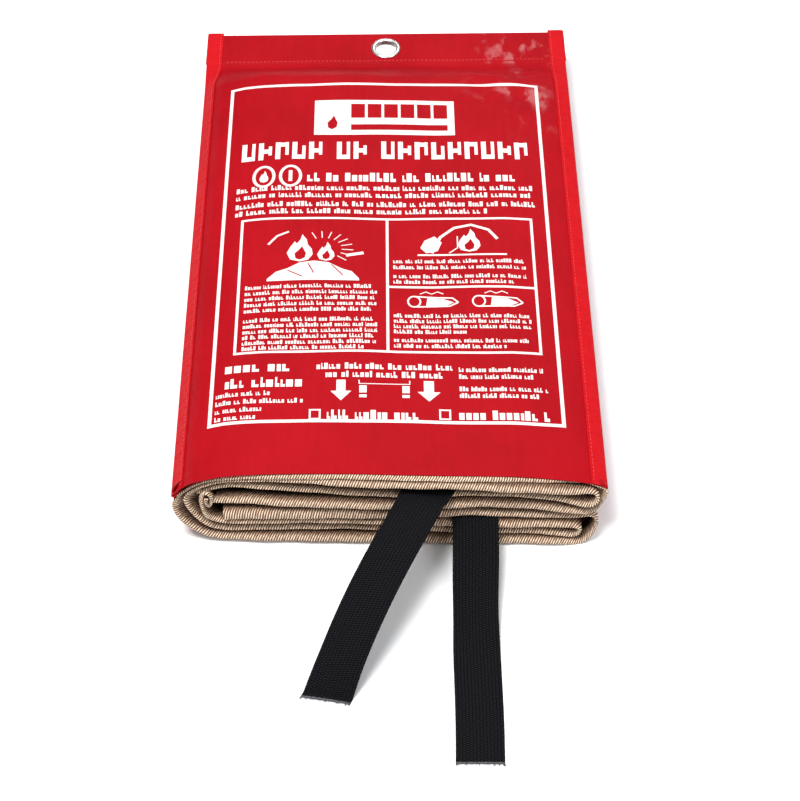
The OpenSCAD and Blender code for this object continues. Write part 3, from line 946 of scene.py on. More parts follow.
@dataclass
class Print:
    """The white screen print: frames, bars for words, and plain pictures."""

    shape: PouchShape
    looks: Finishes
    lift: float = 0.48
    points: list[Array] = field(default_factory=list)
    faces: list[list[int]] = field(default_factory=list)
    red: list[bool] = field(default_factory=list)
    count: int = 0
    shift: tuple[float, float] = (0.0, 0.0)

    def place(self, x: Array, y: Array) -> tuple[Array, Array]:
        """Skews the artwork a little, as it is printed."""
        x, y = np.asarray(x, float), np.asarray(y, float)
        return x, y + x / 113 * (0.8 + 2.4 * clamp01((y - 41) / 220))

    def patch(self, outline: Sequence[tuple[float, float]], red: bool = False) -> None:
        """Adds one flat shape with a convex outline of three or four corners."""
        corners = np.array(outline, float) + self.shift
        if len(corners) == 3:
            corners = np.concatenate([corners, corners[-1:]])
        a, b, c, d = corners
        nx = max(1, int(np.ceil(max(np.linalg.norm(b - a), np.linalg.norm(c - d)) / 5)))
        ny = max(1, int(np.ceil(max(np.linalg.norm(d - a), np.linalg.norm(c - b)) / 5)))
        s, t = np.meshgrid(np.linspace(0, 1, nx + 1), np.linspace(0, 1, ny + 1))
        s, t = s[..., None], t[..., None]
        grid = (a * (1 - s) + b * s) * (1 - t) + (d * (1 - s) + c * s) * t
        x, y = self.place(grid[..., 0], grid[..., 1])
        flip = np.cross(b - a, c - a) < 0
        at = self.shape.on_front(x, y, self.lift + (0.06 if red else 0.0)).reshape(-1, 3)
        index = self.count + np.arange((nx + 1) * (ny + 1)).reshape(ny + 1, nx + 1)
        quads = np.stack([index[:-1, :-1], index[:-1, 1:], index[1:, 1:], index[1:, :-1]], -1).reshape(-1, 4)
        for q in quads:
            self.faces.append(list(q[::-1] if flip else q))
            self.red.append(red)
        self.points.append(at)
        self.count += len(at)

    def bar(self, x0: float, x1: float, y0: float, y1: float, red: bool = False) -> None:
        """A rectangle."""
        self.patch([(x0, y0), (x1, y0), (x1, y1), (x0, y1)], red)

    def frame(self, x0: float, x1: float, y0: float, y1: float, w: float) -> None:
        """A rectangle's outline."""
        self.bar(x0, x1, y0, y0 + w)
        self.bar(x0, x1, y1 - w, y1)
        self.bar(x0, x0 + w, y0 + w, y1 - w)
        self.bar(x1 - w, x1, y0 + w, y1 - w)

    def stroke(self, points: Sequence[tuple[float, float]], w: float, red: bool = False) -> None:
        """A line of even width through points."""
        line = np.array(points, float)
        step = np.diff(line, axis=0)
        n = np.stack([-step[:, 1], step[:, 0]], 1) / np.linalg.norm(step, axis=1, keepdims=True)
        join = np.concatenate([n[:1], n[:-1] + n[1:], n[-1:]])
        join = join / np.maximum(np.linalg.norm(join, axis=1, keepdims=True), 0.3) * w / 2
        for i in range(len(step)):
            self.patch([tuple(line[i] + join[i]), tuple(line[i] - join[i]),
                        tuple(line[i + 1] - join[i + 1]), tuple(line[i + 1] + join[i + 1])], red)

    def fan(self, points: Sequence[tuple[float, float]], red: bool = False) -> None:
        """A shape that is seen whole from the mean of its corners."""
        line = np.array(points, float)
        middle = line.mean(0)
        for a, b in zip(line, np.roll(line, -1, axis=0)):
            self.patch([tuple(middle), tuple(a), tuple(b)], red)

    def words(self, x0: float, x1: float, y: float, high: float, pick: np.random.Generator,
              wide: float = 0.62, end: float = 1.0, red: bool = False) -> None:
        """A line of blocks grouped like words, with no letters.

        Args:
            x0: where the line starts.
            x1: where it may end.
            y: its foot.
            high: the blocks' height.
            pick: the random draws.
            wide: a block's pitch as a share of its height.
            end: how much of the line is used.
            red: drawn in the cloth's red, on a white plate.
        """
        x, stop = x0, x0 + (x1 - x0) * end
        while x < stop - high * wide:
            for _ in range(int(pick.integers(2, 9))):
                tall = high * (1.0 if pick.random() < 0.3 else 0.74)
                step = high * wide * (0.6 if pick.random() < 0.25 else 1.0)
                if x + step > stop:
                    break
                if pick.random() < 0.42:
                    self.bar(x, x + step * 0.78, y, y + tall * 0.36, red)
                    self.bar(x, x + step * 0.36, y + tall * 0.36, y + tall, red)
                else:
                    self.bar(x, x + step * 0.76, y, y + tall, red)
                x += step
            x += high * wide * 0.75

    def flame(self, cx: float, y: float, w: float, h: float, red_core: bool = True) -> None:
        """A plain flame with a red core."""
        side = [(0.0, 0.0), (0.32, 0.05), (0.5, 0.25), (0.46, 0.45), (0.30, 0.62), (0.26, 0.80), (0.08, 1.0),
                (0.02, 0.82), (-0.12, 0.66), (-0.2, 0.74), (-0.36, 0.55), (-0.5, 0.32), (-0.36, 0.08)]
        self.fan([(cx + a * w, y + b * h) for a, b in side])
        if red_core:
            core = [(0.0, 0.06), (0.2, 0.14), (0.24, 0.3), (0.08, 0.56), (-0.04, 0.42), (-0.2, 0.3), (-0.16, 0.12)]
            self.fan([(cx + a * w, y + b * h) for a, b in core], red=True)

    def arrow(self, cx: float, y0: float, y1: float, w: float) -> None:
        """A thick arrow that points to the mouth."""
        neck = y0 + (y1 - y0) * 0.46
        self.bar(cx - w * 0.22, cx + w * 0.22, neck, y1)
        self.patch([(cx - w / 2, neck), (cx, y0), (cx + w / 2, neck)])

    def draw(self) -> None:
        """Lays out the whole print."""
        pick = np.random.default_rng(11)
        self.frame(-116.4, 114.5, 41.3, 367.4, 2.5)
        self.bar(-53, 50.4, 311.0, 348.3)
        self.flame(-40, 315.0, 17, 29.5)
        for x0 in (-26, -13.8, -1.6, 10.6, 22.8, 35):
            self.bar(x0, x0 + 10.2, 329.0, 344.0, red=True)
        self.bar(-26, 45.2, 316.0, 322.0, red=True)
        x = -104.9
        for letters in (5, 2, 9):
            for k in range(letters):
                self.bar(x, x + 3.6, 285.6, 303.6)
                self.bar(x + 3.6, x + 9.6, 285.6 + 6.6 * (k % 3), 290.0 + 6.6 * (k % 3))
                self.bar(x + 7.2, x + 9.6, 290.0, 303.6 - 4.0 * (k % 2))
                x += 12.15
            x += 8.0
        self.ring(-88, 268.0, 7.2, 10.2, 2.2)
        self.flame(-88, 262.0, 6.5, 12.0, red_core=False)
        self.ring(-69, 268.0, 7.2, 10.2, 2.2)
        self.bar(-70.3, -67.7, 262.5, 273.5)
        self.words(-57, 94, 262.3, 8.8, pick, 0.56)
        for y, end in ((253.4, 0.99), (246.2, 0.98), (237.2, 1.0), (230.0, 0.84)):
            self.words(-107, 108, y, 4.9, pick, 0.58, end)
        self.frame(-102.4, 102.6, 100.6, 226.0, 1.9)
        self.bar(-1.0, 0.9, 102.5, 224.1)
        self.bar(0.9, 100.7, 159.2, 161.1)
        self.hearth()
        for y, end in ((158.6, 0.97), (153.3, 1.0), (148.0, 0.99), (142.7, 1.0), (137.4, 0.96),
                       (128.4, 0.98), (123.4, 1.0), (118.4, 1.0), (113.4, 0.97), (108.4, 1.0), (103.6, 0.9)):
            self.words(-97, -6.0, y, 3.5, pick, 0.56, end)
        self.cover()
        for y, end in ((182.6, 0.98), (177.0, 0.99), (168.6, 0.99), (163.4, 0.9)):
            self.words(4.0, 98.0, y, 3.5, pick, 0.56, end)
        self.wrapped()
        for y, end in ((132.4, 0.98), (127.6, 1.0), (122.8, 1.0), (118.0, 0.52), (110.4, 0.99), (105.4, 0.8)):
            self.words(4.0, 98.5, y, 3.4, pick, 0.56, end)
        self.words(-107, -62, 84.8, 8.2, pick, 0.72, 1.0)
        self.words(-106.5, -54, 71.6, 8.2, pick, 0.72, 1.0)
        for y, end in ((64.6, 0.62), (58.0, 1.0), (51.4, 0.55), (45.0, 0.5)):
            self.words(-112, -54, y, 3.9, pick, 0.56, end)
        self.words(-47, 43, 86.0, 5.2, pick, 0.6, 1.0)
        self.words(-41, 38, 79.0, 5.2, pick, 0.6, 1.0)
        self.arrow(-30.8, 59.4, 76.6, 13.5)
        self.arrow(26.5, 59.4, 76.6, 15)
        self.stroke([(-19, 76.5), (-19, 73.5), (14, 73.5), (14, 76.5)], 0.9)
        for k in (-16.5, 11.5):
            self.bar(k - 2.4, k + 2.4, 66.0, 72.0)
            self.bar(k - 2.4, k + 2.4, 62.0, 64.4)
        for y, end in ((85.0, 0.97), (79.2, 0.9), (68.8, 1.0), (63.2, 0.9)):
            self.words(46.5, 105, y, 3.8, pick, 0.54, end)
        self.frame(-51.2, -43.6, 43.6, 52.2, 1.2)
        self.words(-39.6, 20.5, 44.0, 7.6, pick, 0.6, 1.0)
        self.frame(32.7, 40.4, 44.6, 53.2, 1.2)
        self.words(45.6, 106, 45.0, 7.6, pick, 0.6, 1.0)

    def ring(self, cx: float, cy: float, rx: float, ry: float, w: float) -> None:
        """An oval's outline."""
        a = np.linspace(0, 2 * math.pi, 25)
        self.stroke([(cx + rx * math.cos(t), cy + ry * math.sin(t)) for t in a], w)

    def hearth(self) -> None:
        """A fire on a heap, with sparks, in the left box."""
        self.shift = (1.5, -14.0)
        heap = [(-84, 181.5), (-78, 188), (-70, 191), (-62, 196), (-52, 197.5), (-42, 196), (-33, 190.5),
                (-26, 188), (-21, 181.5)]
        for (xa, ya), (xb, yb) in zip(heap, heap[1:]):
            self.patch([(xa, 179.5), (xb, 179.5), (xb, yb), (xa, ya)])
        for line in ([(-70, 189), (-60, 183)], [(-40, 194), (-32, 184)], [(-56, 195), (-52, 186)]):
            self.stroke(line, 0.9, red=True)
        self.flame(-62, 197.0, 18, 26)
        self.flame(-44, 197.5, 12, 18)
        for angle in range(-40, 131, 19):
            a = math.radians(angle)
            self.stroke([(-46 + math.cos(a) * r, 209 + math.sin(a) * r * 0.8) for r in (13, 17, 21)], 0.7)
        self.stroke([(-84, 214), (-78, 222), (-70, 226)], 1.6)
        self.stroke([(-30, 203), (-18, 206)], 2.6)
        self.shift = (0.0, 0.0)

    def cover(self) -> None:
        """A cloth laid over a flame, in the upper right box."""
        self.shift = (-9.0, -7.0)
        self.flame(66, 200, 16, 22)
        self.stroke([(40, 199), (46, 214), (56, 223), (68, 226), (80, 221), (86, 212)], 2.2)
        self.stroke([(52, 199), (58, 204), (58, 215)], 0.9)
        self.fan([(36, 199), (44, 201), (47, 209), (42, 215), (35, 211), (32, 204)])
        self.bar(30, 92, 196.5, 198.0)
        self.shift = (0.0, 0.0)

    def wrapped(self) -> None:
        """Two rolled bundles, in the lower right box."""
        self.shift = (2.0, -6.5)
        for cx in (28.0, 72.0):
            self.ring(cx - 12, 153.5, 4.2, 4.8, 1.2)
            self.stroke([(cx - 12, 158.2), (cx + 14, 156.5), (cx + 18, 152.5)], 1.2)
            self.stroke([(cx - 12, 148.8), (cx + 12, 149.2), (cx + 18, 152.5)], 1.2)
            self.fan([(cx - 4, 149.6), (cx + 10, 149.8), (cx + 15, 152.5), (cx + 8, 155.8), (cx - 3, 157)])
            self.stroke([(cx - 8, 160.5), (cx - 4, 162.5), (cx, 160.5), (cx + 4, 162.5), (cx + 8, 160.5)], 0.8)
        self.shift = (0.0, 0.0)

    def build(self) -> None:
        """Draws the print and makes its mesh."""
        self.draw()
        points = np.concatenate(self.points)
        ink = Build.mesh("front_print_ink", points, self.faces, points[:, :2] / 1000)
        dress(ink, "print_ink", self.looks.ink, self.looks.cut_out)
        ink.data.polygons.foreach_set("material_index", np.array(self.red, np.int32))
        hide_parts("front_print")
        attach(ink, "pouch")


# ---------------------------------------------------------------- the blanket

# where a fold's nose stands at the mouth: x, z, y, swell on its outer side, swell on its inner
# side, and how far the inner side leans back
Nose = tuple[float, float, float, float, float, float]

OUTER_FOLD: dict[str, Sequence[Nose]] = {
    "band4": ((-112.4, 34.6, -1.4, 1.3, 1.3, 0), (-104.6, 35.6, -2.6, 1.6, 2.2, 0),
        (-91.8, 36.4, -3.7, 1.8, 2.6, 0), (-75.8, 36.5, -5.2, 1.8, 2.6, 0),
        (-63.1, 36.1, -6.2, 1.8, 2.4, 0), (-47.2, 35.8, -7, 1.8, 2.4, 0),
        (-31.4, 35.3, -7.6, 1.8, 2.4, 0), (-15.5, 34.9, -8, 1.8, 2.4, 0),
        (-2.8, 34.6, -8.3, 1.8, 2.2, 0), (13.1, 34.3, -8.3, 1.8, 2, 0), (25.8, 34, -7.9, 1.8, 2, 0),
        (38.6, 33.8, -7.2, 1.8, 2, 0), (51.3, 33.6, -6.4, 1.8, 2, 0), (67.2, 32.9, -6.5, 1.8, 2.2, 0),
        (83.2, 32.2, -6.6, 1.6, 2.2, 0), (99.2, 31, -7.2, 1.5, 2, 0), (108.7, 29.6, -8.3, 1.4, 1.8, 0),
        (115.2, 28.4, -9.1, 1.3, 1.6, 0), (121.6, 27.7, -9.4, 1.2, 1.4, 0.5)),
    "turnhi": ((127, 24.9, -7.6, 1.1, 1.2, 1), (131.8, 24.2, -4.9, 1, 1, 1),
        (134.3, 27.1, -2.7, 1, 1, 2), (135.9, 33.4, -3.9, 1, 1, 3), (137.3, 39.1, -4.4, 1, 1, 4),
        (137.9, 43.2, -3.8, 1, 1, 4), (137.4, 45.5, -2.7, 1, 1, 4), (135.2, 47, -1.9, 1, 1, 4),
        (132, 48.1, -1.5, 1, 1, 4)),
    "band1": ((127.1, 47.7, -0.1, 1, 1.1, 3), (117.6, 48.4, 0.5, 1.2, 1.4, 1.5),
        (107.9, 50.3, -0.1, 1.4, 1.8, 0.5), (98.4, 51.5, -0.4, 1.5, 2, 0),
        (82.5, 53.1, -1.3, 1.6, 2.2, 0), (69.8, 54, -1.9, 1.6, 2.2, 0), (57.2, 55, -2.4, 1.6, 2.2, 0),
        (44.6, 55.8, -2.5, 1.6, 2.2, 0), (25.8, 56.8, -2.4, 1.6, 2.2, 0), (6.9, 57.5, -2.2, 1.6, 2.2, 0),
        (-11.9, 58.2, -1.9, 1.6, 2, 0), (-30.7, 58.7, -1.8, 1.6, 2, 0), (-49.5, 59.2, -1.5, 1.6, 2, 0),
        (-68.3, 59.3, -1.2, 1.6, 1.8, 0), (-84, 59, -0.9, 1.5, 1.6, 0),
        (-94.8, 57.8, -0.4, 1.4, 1.4, 0.5)),
    "wrap": ((-103, 56.9, -0.1, 1.2, 1.2, 1), (-110.8, 55, 0.1, 1, 1, 2), (-117.9, 52.2, -0.2, 1, 1, 3),
        (-124, 48.3, 0.4, 1, 1, 3.5), (-129.5, 43.8, 0.8, 1, 1, 4), (-134.3, 39.9, 0.4, 1, 1, 4),
        (-137, 37.1, -0.9, 1, 1, 4.5), (-138.2, 32.9, -1.8, 1, 1, 5), (-137.8, 28.3, -3, 1, 1, 5),
        (-136, 23.1, -4.1, 1, 1, 5), (-132.6, 17.6, -5.5, 1, 1, 4.5), (-128.2, 12.7, -6.8, 1, 1, 4),
        (-123.3, 9.3, -8.2, 1.1, 1.1, 3), (-117.6, 6.6, -9.3, 1.3, 1.3, 2)),
    "band8": ((-110.1, 4.3, -9.3, 1.6, 1.8, 1), (-97.1, 4.4, -10.1, 1.8, 2.2, 0.4),
        (-80.9, 4.3, -10.6, 1.8, 2.4, 0), (-64.7, 4.2, -10.9, 1.8, 2.6, 0),
        (-32.3, 3.9, -11.9, 1.8, 2.6, 0), (6.5, 3.6, -12.8, 1.8, 2.4, 0),
        (38.9, 3.4, -13.6, 1.8, 2.4, 0), (71.2, 3.2, -14, 1.8, 2.4, 0), (90.6, 3.1, -14.3, 1.8, 2.2, 0),
        (106.8, 2.8, -15.1, 1.6, 2, 0), (114.5, 2.6, -15.6, 1.4, 1.6, 0.5)),
    "turnlo": ((121.2, 0.7, -14.5, 1.1, 1.2, 2), (125.7, 2.1, -13.8, 1, 1, 4),
        (129.1, 5.3, -12.6, 1, 1, 5), (131.4, 9.7, -11.4, 1, 1, 5), (132.8, 14.1, -10.1, 1, 1, 4.5),
        (133.2, 17.4, -8.8, 1, 1, 4), (131.9, 19.5, -7.8, 1, 1, 3.5), (128.6, 20.8, -7.2, 1, 1, 3)),
    "band5": ((123.5, 20.7, -7.4, 1, 1.3, 1.5), (115.8, 21, -7.6, 1.3, 1.5, 0.3),
        (109.3, 21.7, -7.6, 1.6, 1.6, 0), (99.6, 22.6, -7.2, 1.8, 1.6, 0),
        (83.6, 23.3, -7.4, 1.9, 1.6, 0), (70.7, 23.7, -7.3, 1.9, 1.5, 0), (54.7, 24.5, -6.5, 2, 1.3, 0),
        (45.1, 24.6, -6.8, 2.2, 1.3, 0), (35.5, 24.4, -7.6, 2.6, 1.4, 0), (6.7, 24.5, -8.1, 3.6, 1.6, 0),
        (-12.5, 24.6, -8.2, 4.6, 1.7, 0), (-31.7, 24.8, -8.2, 5.2, 1.7, 0), (-63.7, 25, -8, 5.4, 1.8, 0),
        (-86.1, 24.8, -7.5, 5.6, 1.8, 0), (-106, 23.8, -6.9, 5.6, 1.8, 0)),
}

INNER_FOLD: dict[str, Sequence[Nose]] = {
    "band3": ((-124.1, 40.6, 1.1, 0.8, 0.8, 1), (-118.1, 43.7, 0.9, 1, 1, 1),
        (-113.4, 46.6, 1.6, 1.2, 1.3, 0), (-106.9, 48.7, 1.7, 1.5, 1.8, 0),
        (-94.2, 48.8, 0.7, 1.6, 2.2, 0), (-78.5, 47.6, -0.5, 1.6, 2.2, 0),
        (-62.7, 46.2, -1.3, 1.6, 2, 0), (-46.9, 45.1, -1.9, 1.6, 1.8, 0),
        (-31.2, 43.6, -2.6, 1.6, 1.6, 0), (-12.2, 42.3, -3.4, 1.6, 1.4, 0),
        (6.8, 41.6, -3.6, 1.6, 0.7, 0), (25.8, 41.2, -3.6, 1.6, 0.7, 0), (44.9, 41.6, -3.4, 1.6, 0.7, 0),
        (57.6, 41.4, -3.2, 1.5, 0.7, 0), (70.3, 40.8, -3.2, 1.4, 1.1, 0), (83, 40.2, -3.4, 1.3, 1.1, 0),
        (98.9, 38.9, -4.5, 1.3, 1.1, 0), (108.4, 37.6, -5.6, 1.3, 1.1, 0),
        (114.8, 36.2, -6.3, 1.3, 1, 0)),
    "turnhi": ((121.2, 34.3, -7.2, 1.2, 0.9, 0.5), (125.7, 33.7, -8, 1.2, 0.9, 1),
        (130.1, 34.3, -7.9, 1.1, 0.8, 1.5), (132.6, 36.4, -6.8, 1, 0.8, 2),
        (132.8, 39.1, -5.4, 1, 0.8, 2), (131.1, 41.6, -4.4, 1.1, 0.8, 2),
        (127.1, 43.1, -4.3, 1.3, 0.9, 1.5), (122, 43.5, -5.1, 1.6, 1, 0.8)),
    "band2": ((115.5, 44.4, -5.9, 2, 1.2, 0.3), (107.8, 45.8, -6.4, 2.2, 1.3, 0),
        (95.1, 47.6, -6.3, 2.3, 1.4, 0), (82.4, 48.7, -6.4, 2.2, 1.4, 0),
        (69.8, 49.8, -6.2, 2.1, 1.3, 0), (57.2, 50.8, -6, 2, 0.7, 0), (44.6, 51.7, -5.6, 1.9, 0.7, 0),
        (25.7, 52.5, -5.6, 1.9, 0.7, 0), (6.9, 53.2, -5.6, 1.9, 0.7, 0), (-12, 54.1, -5.2, 1.9, 1.4, 0),
        (-30.8, 55.3, -4.6, 1.7, 1.4, 0), (-46.5, 55.7, -3.1, 1.5, 1.4, 0),
        (-62.2, 55.9, -1.6, 1.4, 1.3, 0), (-78, 55.9, -0.5, 1.2, 1.2, 0), (-93.8, 54.6, 0.6, 1, 1, 0)),
    "wrap": ((-103.4, 53.4, 0.7, 1, 1, 0.5), (-111.1, 51.5, 0.7, 1, 1, 1.5),
        (-117.6, 49, 0.1, 1, 1, 2.5), (-123.6, 45.2, 0.2, 1, 1, 3), (-129.2, 40.8, 0.8, 1, 1, 4),
        (-132.2, 38.2, -0.2, 1, 1, 4.5), (-131.1, 35.5, -2.2, 1, 1, 5), (-128.6, 30.6, -3.5, 1, 1, 5),
        (-125.6, 25, -4.7, 1, 1, 4.5), (-122.1, 19.7, -6, 1, 1, 4), (-117.9, 15.3, -7.2, 1.1, 1.1, 2.5)),
    "band7": ((-112.3, 10.6, -5.8, 1.3, 1.4, 1), (-96.7, 10.9, -6.8, 1.5, 1.6, 0),
        (-80.6, 11.1, -6.9, 1.5, 1.6, 0), (-64.4, 11.1, -7.1, 1.5, 1.6, 0),
        (-48.3, 11.2, -6.7, 1.4, 1.4, 0), (-32.1, 11.1, -6.7, 1.3, 1.3, 0),
        (-12.7, 10.8, -7.4, 1.4, 1.3, 0), (6.6, 10.5, -8.4, 1.5, 1.4, 0), (38.9, 10, -9.6, 1.6, 1.5, 0),
        (71.2, 9.6, -10.3, 1.6, 1.6, 0), (90.5, 9.2, -10.8, 1.6, 1.6, 0),
        (104.7, 8.8, -11.5, 1.6, 1.5, 0), (111.8, 8.3, -12.5, 1.5, 1.3, 0)),
    "turnlo": ((117.1, 6.1, -12.4, 1.3, 1, 0.5), (120.9, 7.3, -12.1, 1.2, 0.9, 1),
        (122.8, 9.9, -11.4, 1.2, 0.8, 1), (121.7, 12.7, -10.8, 1.3, 0.9, 1),
        (117.9, 14.7, -10.7, 1.5, 1, 0.5)),
    "band6": ((110.8, 15.8, -10.8, 1.8, 1.2, 0), (99.8, 16.3, -10.7, 1.9, 1.3, 0),
        (83.7, 16.8, -11, 1.9, 1.4, 0), (70.8, 17, -11.1, 1.8, 1.4, 0), (54.8, 17.4, -10.7, 1.4, 1.4, 0),
        (38.7, 17.8, -10.2, 1.4, 1.3, 0), (6.7, 18.4, -9.2, 1.2, 1.2, 0),
        (-12.6, 18.7, -8.6, 1.1, 1.2, 0), (-31.9, 19, -8, 1.1, 1.2, 0), (-47.9, 19.3, -7.6, 1.2, 1.2, 0),
        (-64, 19.4, -7.4, 1.2, 1.2, 0), (-80, 19.3, -7.6, 1.2, 1.3, 0), (-96.1, 18.9, -7.4, 1.2, 1.3, 0),
        (-107.7, 18.4, -6.9, 1.2, 1.3, 0), (-114.2, 18.2, -6.1, 1.1, 1.2, 0.5)),
    "curl": ((-117.4, 24.3, -7.8, 1, 1, 2), (-119.2, 29.3, -6.6, 1, 1, 3), (-120, 35, -5.1, 1, 1, 3),
        (-120, 39.8, -3.8, 0.9, 0.9, 3), (-118.8, 43.3, -2.8, 0.8, 0.8, 2),
        (-116.6, 44.8, -2.3, 0.7, 0.7, 1), (-114.2, 43.3, -2.4, 0.7, 0.6, 0.6),
        (-112.9, 39.4, -2.8, 0.7, 0.6, 0.5), (-113, 35.2, -3.5, 0.7, 0.6, 0.5),
        (-114.5, 31.6, -4, 0.7, 0.6, 0.5), (-116.3, 31.9, -4.2, 0.7, 0.6, 0.5),
        (-117.1, 35.4, -3.8, 0.7, 0.6, 0.5), (-116.6, 39.2, -3.4, 0.7, 0.6, 0.5)),
}


def arc(cx: float, cz: float, r: float, start: float, stop: float, n: int = 24) -> list[tuple[float, float]]:
    """Points of an arc, in degrees."""
    return [(cx + r * math.cos(math.radians(a)), cz + r * math.sin(math.radians(a)))
            for a in np.linspace(start, stop, n)]


@dataclass
class Lane:
    """The way of one front fold round the stack: neat inside the pouch, loose at its mouth."""

    neat: dict[str, Sequence[tuple[float, float]]]
    nose: dict[str, Sequence[Nose]]
    samples: dict[str, int]
    soft: float = 2.2
    inside: Array = field(init=False)
    front: Array = field(init=False)
    run: Array = field(init=False)

    def __post_init__(self) -> None:
        """Samples both ways leg by leg, so that each station is on the same leg of both."""
        names = list(self.nose)
        inside, front = [], []
        for k, name in enumerate(names):
            after = names[k + 1:k + 2]
            n = self.samples[name]
            for table, out in ((self.neat, inside), (self.nose, front)):
                knots = [*table[name], *[table[a][0] for a in after]]
                out.append(self.spread(np.array(knots, float), n, last=not after))
        self.inside = self.rounded(np.concatenate(inside))
        self.front = self.rounded(np.concatenate(front))
        step = np.linalg.norm(np.diff(self.inside[:, :2], axis=0), axis=1)
        self.run = np.concatenate([[0], np.cumsum(step)])

    @staticmethod
    def spread(knots: Array, n: int, last: bool) -> Array:
        """Spreads n stations evenly along knots."""
        run = np.concatenate([[0], np.cumsum(np.linalg.norm(np.diff(knots[:, :2], axis=0), axis=1))])
        at = np.linspace(0, run[-1], n, endpoint=last)
        return np.stack([np.interp(at, run, knots[:, c]) for c in range(knots.shape[1])], -1)

    def rounded(self, rows: Array) -> Array:
        """Rounds the stations' corners and keeps the two ends."""
        n = int(4 * self.soft)
        bell = np.exp(-0.5 * (np.arange(-n, n + 1) / self.soft) ** 2)
        head = 2 * rows[:1] - rows[n:0:-1]
        tail = 2 * rows[-1:] - rows[-2:-n - 2:-1]
        padded = np.concatenate([head, rows, tail])
        return np.stack([np.convolve(c, bell / bell.sum(), mode="valid") for c in padded.T], -1)

    @staticmethod
    def outward(line: Array) -> Array:
        """Unit vectors to the outer side of a way."""
        d = np.gradient(line[:, :2], axis=0)
        d /= np.maximum(np.linalg.norm(d, axis=1, keepdims=True), 1e-6)
        return np.stack([d[:, 1], -d[:, 0]], -1)


